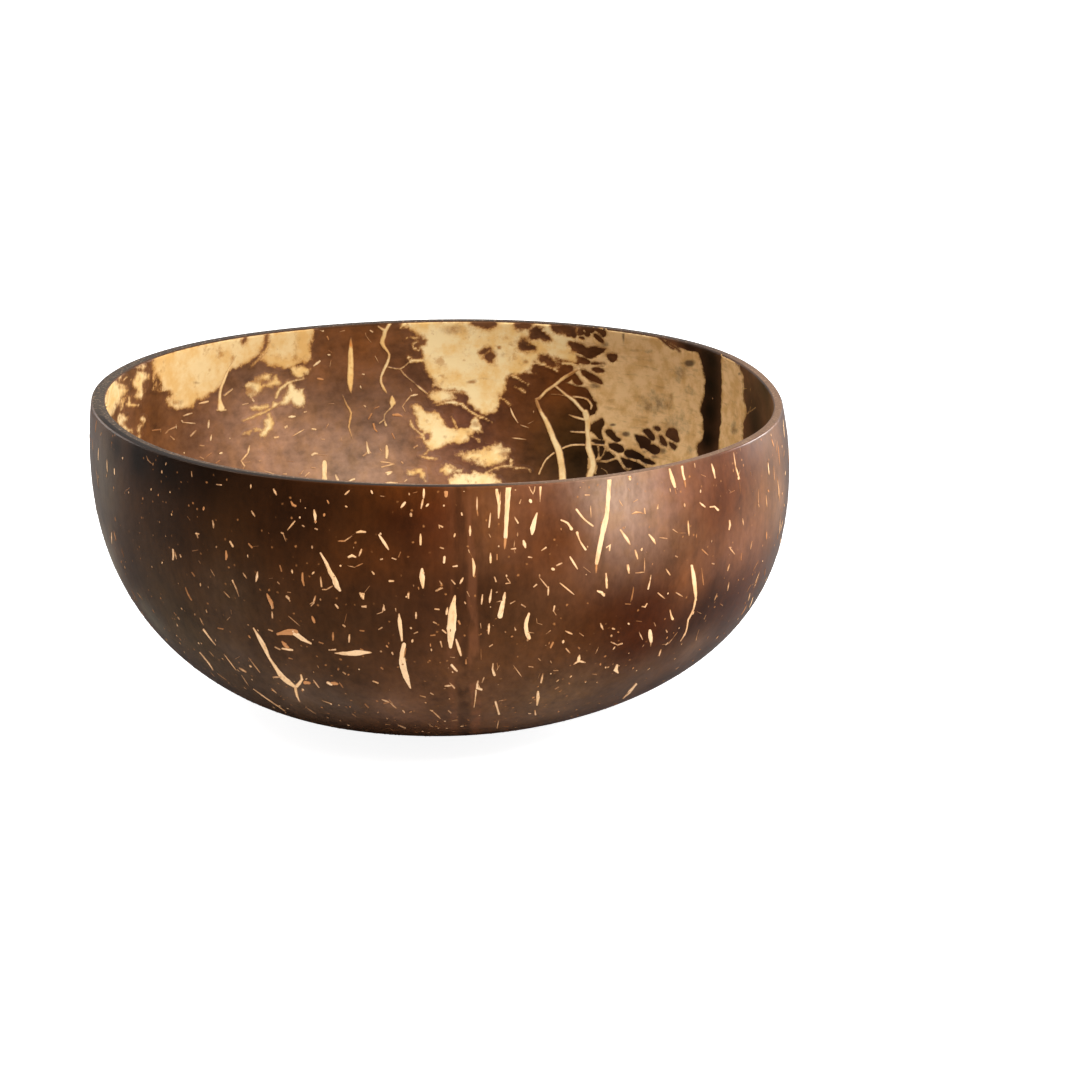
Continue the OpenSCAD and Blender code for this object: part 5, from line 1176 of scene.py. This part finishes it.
insidePale = [
    [(252.5, 399, 3), (253.5, 401.5, 3)], [(242.5, 404.8, 2.2), (248, 403.4, 2.2)],
    [(285, 428, 2.8), (287, 425.8, 2.8)], [(274.5, 438, 3.4), (278.5, 436.8, 2.6)],
    [(304.2, 412.2, 2.4), (306.5, 411.6, 2)], [(328.3, 424, 2), (326, 428, 1.6)],
    [(321.5, 439.4, 2.2), (324.5, 439.4, 2)], [(312, 455, 2.2), (314.5, 453.5, 2.8), (317.5, 453.5, 2)],
    [(311.5, 467.5, 2), (315, 467.8, 2)], [(305, 476.5, 1.8), (309, 472.5, 2.2)],
    [(301, 474, 1.6), (303, 470.5, 1.8)], [(335.5, 475, 1.6), (337, 478.5, 3), (338.5, 481.5, 2.4)],
    [(349, 481.5, 2), (352, 479.8, 2.4), (354.5, 479, 1.8)],
    [(366.5, 442, 1.5), (367.5, 448, 2.2), (368.5, 452.5, 3.4)], [(368.5, 451, 3), (370.8, 453.2, 1.8)],
    [(366, 454.5, 1.8), (362.8, 456, 2.4)], [(381, 462, 1.5), (387, 462.5, 1.8), (394, 464, 1.4)],
    [(394, 464, 1.6), (386, 466, 2), (381.5, 467.2, 1.8)], [(385, 483.3, 1.6), (391, 482.8, 2.4), (396, 483.2, 1.4)],
    [(401.3, 461.8, 2.6), (402.8, 463.2, 2.6)], [(404.6, 481.5, 2.4), (406.8, 479.6, 2.6)],
    [(413.8, 448, 2.2), (417.5, 445.4, 2.6)], [(344.5, 330.5, 2), (339.5, 332, 1.1)],
    [(370, 330.5, 2.2), (372.5, 332, 2.6)], [(365.5, 333, 1.5), (366, 336, 2)], [(366, 336, 1.5), (371, 342.5, 1.3)],
    [(331, 360, 1.3), (329.5, 367, 1.5)], [(375, 356, 1.7), (378.5, 362.5, 1.1)],
    [(362, 374, 1.7), (364, 374.5, 2.8)], [(364, 406, 2), (365.5, 407, 2.4)],
    [(417.5, 394.5, 2.2), (410.5, 396, 2.4)], [(410.5, 396, 2.2), (405.5, 402, 1.7)],
    [(405.5, 402, 1.3), (402.5, 406.5, 2.4)], [(402.5, 406.5, 2.2), (405, 411.5, 2)],
    [(410.5, 388.5, 2.2), (411.5, 391, 2.2)], [(366.5, 442, 1.5), (368.5, 451.5, 1.5)],
    [(368.5, 451.5, 2.6), (370.5, 453.5, 0.9)], [(368.5, 452, 2.2), (363, 455.5, 1.3)],
    [(386.5, 446, 2.4), (387, 451, 3.3), (386.5, 458, 2.4)], [(381.5, 462.5, 0.9), (393.5, 463.5, 1.3)],
    [(393.5, 463, 1.3), (381, 467.5, 1.3)], [(385.5, 473, 2.4), (391.5, 472, 3.7)],
    [(401, 462.5, 1.5), (403, 463, 2)], [(411, 421, 2), (412.5, 426.5, 3), (417, 431.5, 2.2), (423, 435, 1.1)],
    [(419.5, 455.5, 0.9), (425, 456, 1.3)], [(425, 457.5, 1.7), (438.5, 459, 1.3)],
    [(416.5, 436.5, 0.9), (423, 437, 2)], [(423, 437, 1.5), (424, 440, 1.3)], [(318.5, 324.5, 2.1), (323, 331, 3.8)],
    [(313.5, 366, 2.6), (320, 361, 2.9)], [(183, 416, 1.5), (192, 413, 2.6)],
    [(181.5, 420.5, 2.6), (183, 422.5, 2.1)], [(183, 422.5, 1.8), (195, 423.5, 1.8)],
    [(208.5, 420, 1.2), (208, 428, 2.3)], [(190.5, 436, 2.6), (196, 430.5, 1.5)],
    [(160.5, 429, 1.5), (160.5, 432, 1.8)], [(165.5, 433.5, 2.3), (168.5, 430, 1.8)],
    [(168.5, 430, 1.5), (175.5, 427, 2.1)], [(170, 436, 1.5), (174, 439.5, 2.9)],
    [(211.5, 434.5, 1.5), (210.5, 440.5, 2.9)], [(200.5, 445.5, 1.8), (204, 445.5, 1.8)],
    [(252, 400.5, 2.1), (254, 401, 3.2)], [(288.5, 417, 2.3), (295, 416.5, 3.2)], [(285, 427, 3.2), (287, 427, 3.5)],
    [(274.5, 437.5, 3.8), (278, 437.5, 2.9)], [(293, 436, 1.5), (304, 429.5, 1.8)],
    [(312, 429, 2.9), (315.5, 429.5, 3.5)], [(199, 403.5, 2.1), (208, 401.5, 3.2)],
    [(249.5, 445.5, 1.7), (248, 453, 3)], [(248, 453, 2.3), (241, 461, 2)], [(241, 461, 1.7), (244.5, 466, 3)],
    [(244.5, 466, 2), (242, 471, 1.3)], [(244, 463, 1.3), (249.5, 462, 1.7)], [(259, 461, 2.3), (261.5, 461, 1.7)],
    [(312, 454.5, 2.3), (317, 454, 2.3)], [(316, 454.5, 1.3), (327.5, 455.5, 1)],
    [(264.5, 471, 1.7), (274, 474, 1.7)], [(283, 474, 2), (286.5, 474, 2.7)], [(336, 475.5, 1.3), (338, 481, 2.7)],
    [(349, 481, 2.3), (353.5, 479.5, 2)], [(292, 436.5, 1.7), (298, 432.5, 1.7)],
    [(324.5, 462, 5), (324.5, 469.5, 5.3), (324.5, 479.5, 5.6)], [(341, 438, 1.7), (341.5, 440.5, 1.7)],
    [(363.5, 405.5, 2.3), (365.5, 406.5, 2.7)], [(380, 449, 2), (381.5, 451.5, 1.7)],
    [(200, 457, 2.3), (203.5, 459, 2.3)], [(200, 445.5, 2.7), (204, 446, 2)], [(209, 420, 1.3), (208.5, 427.5, 2.3)],
    [(387.5, 474.5, 4.3), (390.5, 473, 4)], [(387.5, 483, 1), (397.5, 483, 2)], [(430.5, 486, 2), (435.5, 486, 1.7)],
    [(328.5, 404, 1.1), (334, 403.5, 1.5)], [(311, 467.5, 1.6), (314, 468.5, 1.4)],
    [(405, 374, 1.6), (406, 376, 1.8)], [(512, 438, 1), (517, 438.5, 2), (526, 439.5, 0.9)],
    [(510.5, 408, 1), (512.5, 414, 2.1), (518, 423, 1.2)], [(520.5, 425, 2), (529, 428, 1)],
    [(533.5, 421, 1), (528, 424, 1.3)], [(490, 443.5, 0.9), (485, 443, 1.1)]]
insideOrange = [
    [(393, 415, 2.4), (398, 414.5, 3), (402, 416.3, 1.2)], [(392, 433.5, 2.4), (394.5, 438.5, 2.6)],
    [(368.5, 419, 2.2), (371.5, 414, 3)], [(373.5, 424, 2.2), (374.5, 429, 2.2), (377, 431.5, 1.6)],
    [(374.5, 408.5, 1.8), (379, 406.5, 2)], [(327, 336.5, 2.4), (328.5, 339.5, 2.2)],
    [(328.5, 350.5, 1.5), (331.5, 352.5, 1.7)], [(372, 414, 1.3), (368.5, 419, 1.7)],
    [(374.5, 423, 1.1), (375.5, 428, 1.1)], [(393, 415, 2.2), (401, 416.5, 0.9)],
    [(392, 433.5, 1.3), (394.5, 438.5, 1.5)], [(414, 448, 1.5), (417.5, 446, 1.7)],
    [(317, 378.5, 2.1), (323, 379.5, 2.6)], [(152, 430.5, 1.5), (160.5, 429.5, 2.1)],
    [(303, 470.5, 1.3), (299.5, 474.5, 1.7)], [(308.5, 473, 2), (306, 476, 1.7)],
    [(288, 461.5, 1.3), (293.5, 461.5, 1.3)], [(206, 457, 1.7), (211.5, 453, 1.7)],
    [(216, 463, 1.7), (219.5, 460.5, 2)], [(414, 447, 2.3), (417, 446.5, 3)]]


# a stroke's end: how far its last ring and its tip lie beyond it, and the ring's width, as shares of the width
fleckEnd = {"tip": 0.5, "ring": 0.28, "ringWidth": 0.72}
# widths: how full the ends of a short mark are, and how uneven it is, over so many pixels
fleckWidth = {"ends": 0.62, "uneven": 0.35, "over": 3, "seed": 2.2}


def roundedEnds(path):  # rings at a stroke's blunt ends, then a tip
    (ax, ay, aw), (bx, by, _) = path[0], path[1]
    long = max(math.hypot(ax - bx, ay - by), 0.01)
    dx, dy = (ax - bx) / long, (ay - by) / long
    tip, beyond = fleckEnd["tip"], fleckEnd["ring"]
    return [(ax + dx * aw * tip, ay + dy * aw * tip, 0),
            (ax + dx * aw * beyond, ay + dy * aw * beyond, aw * fleckEnd["ringWidth"])] + path


def naturalWidths(path, mark):  # fuller in the middle, a little uneven
    ends, over, uneven = fleckWidth["ends"], fleckWidth["over"], []
    for i, (x, y, w) in enumerate(path):
        share = i / max(len(path) - 1, 1)
        full = ends + (1 - ends) * math.sin(math.pi * share) if len(mark) < 3 else 1
        waves = noise.noise(Vector((x / over, y / over, fleckWidth["seed"])))
        uneven.append((x, y, w * full * (1 + fleckWidth["uneven"] * waves)))
    return uneven


# a mark's brightness: at least, by chance, by its length and by its width in pixels; its tan: by chance, less by both
# it is dimmed towards the left and low down as painted shade: from this pixel, over so many pixels, by so much
shades = {"bright": (0.45, 0.35, 0.02, 0.14), "brightest": 1.4, "tan": (0.65, 0.02, 0.08),
          "left": (330, 200, 0.26), "low": (640, 80, 0.08)}


def shadeOf(mark, stained):  # how bright a mark is, and how tan
    long = sum(math.hypot(b[0] - a[0], b[1] - a[1]) for a, b in zip(mark, mark[1:]))
    widest = max(m[2] for m in mark)
    least, chance, byLength, byWidth = shades["bright"]
    bright = min(least + chance * random.random() + byLength * long + byWidth * widest, shades["brightest"])
    chance, byLength, byWidth = shades["tan"]
    tan = stained if stained else max(0, chance * random.random() - byLength * long - byWidth * widest)
    # painted shade: dimmer towards the left and low down
    leftFrom, leftOver, leftShadeBy = shades["left"]
    lowFrom, lowOver, lowShadeBy = shades["low"]
    x, y = mark[0][:2]
    return bright - (leftShadeBy * held((leftFrom - x) / leftOver) + lowShadeBy * held((y - lowFrom) / lowOver)), tan


surfaces = {"outside": (outsideTree, outsideTone), "inside": (insideTree, insideTone)}


def makeMarks(name, side, points, faces, covers, stains):  # many marks as one piece
    mesh = bpy.data.meshes.new(name)
    mesh.from_pydata(points, [], faces)
    piece = bpy.data.objects.new(name, mesh)
    addToScene(piece)
    numberEach(mesh, "cover", covers)
    numberEach(mesh, "stain", stains)
    paintTone(mesh, surfaces[side][1](points))
    bpy.ops.object.mode_set(mode="EDIT")
    bpy.ops.mesh.select_all(action="SELECT")
    bpy.ops.mesh.normals_make_consistent(inside=False)
    bpy.ops.object.mode_set(mode="OBJECT")
    settle(piece, None, fleckFinish[side])


# across a fleck, each corner's share of its half width and its level: 1 is its top, -1 its edge, -2 under the wall
fleckRing = ((-1, -1), (-0.55, 0.7), (0, 1), (0.55, 0.7), (1, -1), (0.6, -2), (-0.6, -2))


def layFlecks(name, side, groups, fleck):
    tree, around = surfaces[side][0], len(fleckRing)
    points, faces, covers, stains = [], [], [], []
    for marks, strength, stained in groups:
        for mark in marks:
            bright, tan = shadeOf(mark, stained)
            spread = fleck["widen"] * held(max(m[2] for m in mark) - fleck["widenFrom"])
            path = naturalWidths(smoothPath(mark, fleck["step"]), mark)
            path = roundedEnds(roundedEnds(path)[::-1])
            begin, rings = len(points), []
            for i, (x, y, w) in enumerate(path):
                before, after = path[max(i - 1, 0)], path[min(i + 1, len(path) - 1)]
                dx, dy = after[0] - before[0], after[1] - before[1]
                long = max(math.hypot(dx, dy), 1e-6)
                lean, wide = (-dy / long, dx / long), w / 2 + spread
                ring = []
                for share, level in (fleckRing if w > 0 else ((0, -1),)):
                    landed = landOn(tree, x + lean[0] * share * wide, y + lean[1] * share * wide)
                    if landed is None:
                        break
                    spot, normal, _ = landed
                    height = {-2: -3 * fleck["sink"], -1: -fleck["sink"]}.get(level, level * fleck["rise"])
                    spot = spot + normal * height * mm
                    spot.z = min(spot.z, rimLevel - fleck["rimGap"] * mm)
                    ring.append(len(points))
                    points.append(tuple(spot))
                    thinner = fleck["thinner"] if abs(share) == 1 or w == 0 else 0
                    covers.append((w / 2 * (1 - abs(share)) * strength * bright - thinner) / coverDepth)
                    stains.append(tan)
                if len(ring) in (1, around):
                    rings.append(ring)
                elif len(rings) > 1:
                    break
                else:
                    rings = []
            if len(rings) < 3:  # too little of it lies on the wall
                del points[begin:], covers[begin:], stains[begin:]
                continue
            for end in (0, -1):  # an end cut off by the rim is closed
                if len(rings[end]) > 1:
                    middle = Vector(points[rings[end][2]]) * 0.5 + Vector(points[rings[end][5]]) * 0.5
                    rings.insert(0 if end == 0 else len(rings), [len(points)])
                    points.append(tuple(middle))
                    covers.append(covers[rings[1 if end == 0 else -2][2]])
                    stains.append(tan)
            for first, second in zip(rings, rings[1:]):
                for k in range(around):
                    n = (k + 1) % around
                    if len(first) == 1:
                        faces.append((first[0], second[n], second[k]))
                    elif len(second) == 1:
                        faces.append((first[k], first[n], second[0]))
                    else:
                        faces.append((first[k], first[n], second[n], second[k]))
    makeMarks(name, side, points, faces, covers, stains)


# step and widenFrom are in pixels, widen in pixels to each side, rise, sink and rimGap in mm
outsideFleck = {"step": 4, "widen": 0.35, "widenFrom": 1.4, "thinner": 0.25, "rise": 0.035, "sink": 0.03,
                "rimGap": 0.35}
insideFleck = dict(outsideFleck, widen=0.45, rise=0.06, sink=0.04, rimGap=0.6)
layFlecks("outsideFlecks", "outside", ((outsidePale, 1, 0), (outsideOrange, 0.8, 0.9)), outsideFleck)
layFlecks("insideFlecks", "inside", ((insidePale, 1, 0), (insideOrange, 0.8, 0.9)), insideFleck)


# the many small ones: one lens, modelled once and laid all round; front is in degrees to each side, lengths in mm
# rises are shares of the direction's length, from -1 straight down
smallFlecks = {"outside": 1650, "inside": 160, "front": 62, "fewerAbove": -0.5, "fewer": 0.25, "lowBelow": -0.62,
               "lowLength": 0.7, "highest": {"outside": 0.3, "inside": 0.25}, "thick": 0.05, "above": 2,
               "coverEach": 2.5, "thinner": 0.4, "rimGap": {"outside": 1.2, "inside": 2}, "footGap": 0.2}
deselect()
bpy.ops.mesh.primitive_uv_sphere_add(segments=8, ring_count=4, radius=1)
lens = bpy.context.object
lensPoints = [v.co.copy() for v in lens.data.vertices]
lensFaces = [tuple(f.vertices) for f in lens.data.polygons]
bpy.data.objects.remove(lens)


def layLenses(name, side, chooser):
    tree, above = surfaces[side][0], smallFlecks["above"]
    points, faces, covers, stains = [], [], [], []
    for _ in range(smallFlecks[side]):
        chosen = chooser()
        if chosen is None:
            continue
        spot, normal, long, wide, turn, strength, stained = chosen
        around = Vector((0, 0, 1)).cross(normal).normalized()
        forward = normal.cross(around) * math.cos(turn) + around * math.sin(turn)
        beside = normal.cross(forward)
        begin = len(points)
        for p in lensPoints:
            place = spot + forward * p.x * long / 2 * mm + beside * p.y * wide / 2 * mm
            hit, facing, _, _ = tree.ray_cast(place + normal * above * mm, -normal, 2 * above * mm)
            if hit is None:
                break
            points.append(tuple(hit + facing * p.z * smallFlecks["thick"] * mm))
            thinner = smallFlecks["thinner"] if p.z < 0.1 else 0
            covers.append((wide * smallFlecks["coverEach"] * max(p.z, 0) * strength - thinner) / coverDepth)
            stains.append(stained)
        if len(points) - begin < len(lensPoints):
            del points[begin:], covers[begin:], stains[begin:]
            continue
        faces += [tuple(begin + i for i in f) for f in lensFaces]
    makeMarks(name, side, points, faces, covers, stains)


# each choice: place, facing, length, width, turn, strength and tan
def outsideChoice():
    turn, rise = random.uniform(0, 360), random.uniform(-1, smallFlecks["highest"]["outside"])
    front = abs((turn + 90 + 180) % 360 - 180) < smallFlecks["front"]
    if front and rise > smallFlecks["fewerAbove"] and random.random() < smallFlecks["fewer"]:
        return None
    outward = headed(turn, rise)
    spot, normal, _, _ = outsideTree.ray_cast(heart + outward * wellOutside, -outward)
    highest = rimLevel - smallFlecks["rimGap"]["outside"] * mm
    if spot is None or spot.z > highest or spot.z < smallFlecks["footGap"] * mm:
        return None
    low = rise < smallFlecks["lowBelow"]
    long = random.choice((0.35, 0.5, 0.6, 0.8, 1.0)) * (smallFlecks["lowLength"] if low else 1)
    if not front and not low:
        long = random.choice((0.5, 0.7, 0.9, 1.2, 1.6, 2.2, 3.2, 5.0))
    if long > 0.6:
        wide = min(long * random.uniform(0.3, 0.8), random.uniform(0.35, 0.75))
    else:
        wide = long * random.uniform(0.5, 1)
    lean = random.gauss(0, 0.45) if not low else random.uniform(-1.6, 1.6)
    return spot, normal, long, wide, lean, random.choice((0.5, 0.8, 1, 1)), random.choice((0, 0, 0, 0.9))


def insideChoice():
    turn, rise = random.uniform(0, 360), random.uniform(-1, smallFlecks["highest"]["inside"])
    spot, normal, _, _ = insideTree.ray_cast(heart, headed(turn, rise))
    if spot is None or spot.z > rimLevel - smallFlecks["rimGap"]["inside"] * mm:
        return None
    long = random.choice((0.4, 0.5, 0.7, 0.9, 1.3))
    if 195 < turn < 345:  # the near half, which the photograph doesn't show
        long = random.choice((0.5, 0.7, 0.9, 1.2, 1.6, 2.2, 3.2))
    return (spot, normal, long, min(long, random.uniform(0.3, 0.6)), random.gauss(0, 0.9),
            random.choice((0.5, 0.8, 1)), random.choice((0, 0, 0.9)))


layLenses("smallFlecksOutside", "outside", outsideChoice)
layLenses("smallFlecksInside", "inside", insideChoice)
print("flecks laid")


# pale floor and soft studio light; floorSize in m, floorGap in mm
# what mirrors the world sees it dim at the front and bright at the back, changing over glossTurn
studio = {"world": 0.32, "glossFront": 0.03, "glossBack": 0.9, "glossTurn": (-0.1, 0.7), "floorSize": 12,
          "floorGap": 0.2, "floor": 0.8, "floorGloss": 0.22, "floorGlow": 0.9, "floorRough": 0.9, "floorSpecular": 0.1}
deselect()
bpy.ops.mesh.primitive_plane_add(size=studio["floorSize"], location=(0, 0, -studio["floorGap"] * mm))
floor = bpy.context.object
floor.name = "studioFloor"
material, tree, shader = newMaterial("pale floor")
shader.inputs["Roughness"].default_value = studio["floorRough"]
shader.inputs["Specular IOR Level"].default_value = studio["floorSpecular"]
path = addNode(tree, "ShaderNodeLightPath")
gloss = otherOut(path, "Is Glossy Ray")
plug(tree, mixColour(tree, gloss, (studio["floor"],) * 3, (studio["floorGloss"],) * 3), shader, "Base Color")
glow = addNode(tree, "ShaderNodeEmission", {}, {"Color": (1.0, 1.0, 1.0), "Strength": path * studio["floorGlow"]})
both = addNode(tree, "ShaderNodeAddShader", {}, {0: Wire(tree, shader.outputs[0]), 1: glow})
plug(tree, both, tree.nodes["Material Output"], "Surface")
floor.data.materials.append(material)

world = bpy.data.worlds.new("studio")
bpy.context.scene.world = world
world.use_nodes = True
tree = world.node_tree
path = addNode(tree, "ShaderNodeLightPath")
back = tree.nodes["Background"]
back.inputs["Color"].default_value = (1, 1, 1, 1)
gloss = otherOut(path, "Is Glossy Ray")
heading = addNode(tree, "ShaderNodeSeparateXYZ", {}, {0: addNode(tree, "ShaderNodeTexCoord")}, out=1)
mirrored = along(studio["glossFront"], studio["glossBack"], ease(tree, heading, *studio["glossTurn"]))
plug(tree, studio["world"] + path * (1 - studio["world"]) + gloss * (mirrored - studio["world"]), back, "Strength")

lamps = {  # place, aim, size, power
    "keyLamp": ((0.80, -0.55, 0.85), (0.01, 0, 0.04), 0.45, 15),
    "frontLamp": ((0.15, -0.90, 1.00), (0.01, 0, 0.05), 0.5, 4),
    "topLamp": ((-0.65, 0.05, 0.90), (0.02, 0, 0.04), 0.5, 7),
    "leftLamp": ((-0.90, 0.85, 0.25), (0, 0, 0.04), 0.5, 3),
    "rightLamp": ((1.0, 0.65, 0.25), (0, 0, 0.04), 0.4, 8)}
for name, (place, aim, size, power) in lamps.items():
    bpy.ops.object.light_add(type="AREA", location=place)
    lamp = bpy.context.object
    lamp.name = name
    lamp.data.size = size
    lamp.data.energy = power
    lamp.rotation_euler = (Vector(aim) - Vector(place)).to_track_quat("-Z", "Y").to_euler()
bpy.context.scene.view_settings.view_transform = "Standard"
print("studio lit")
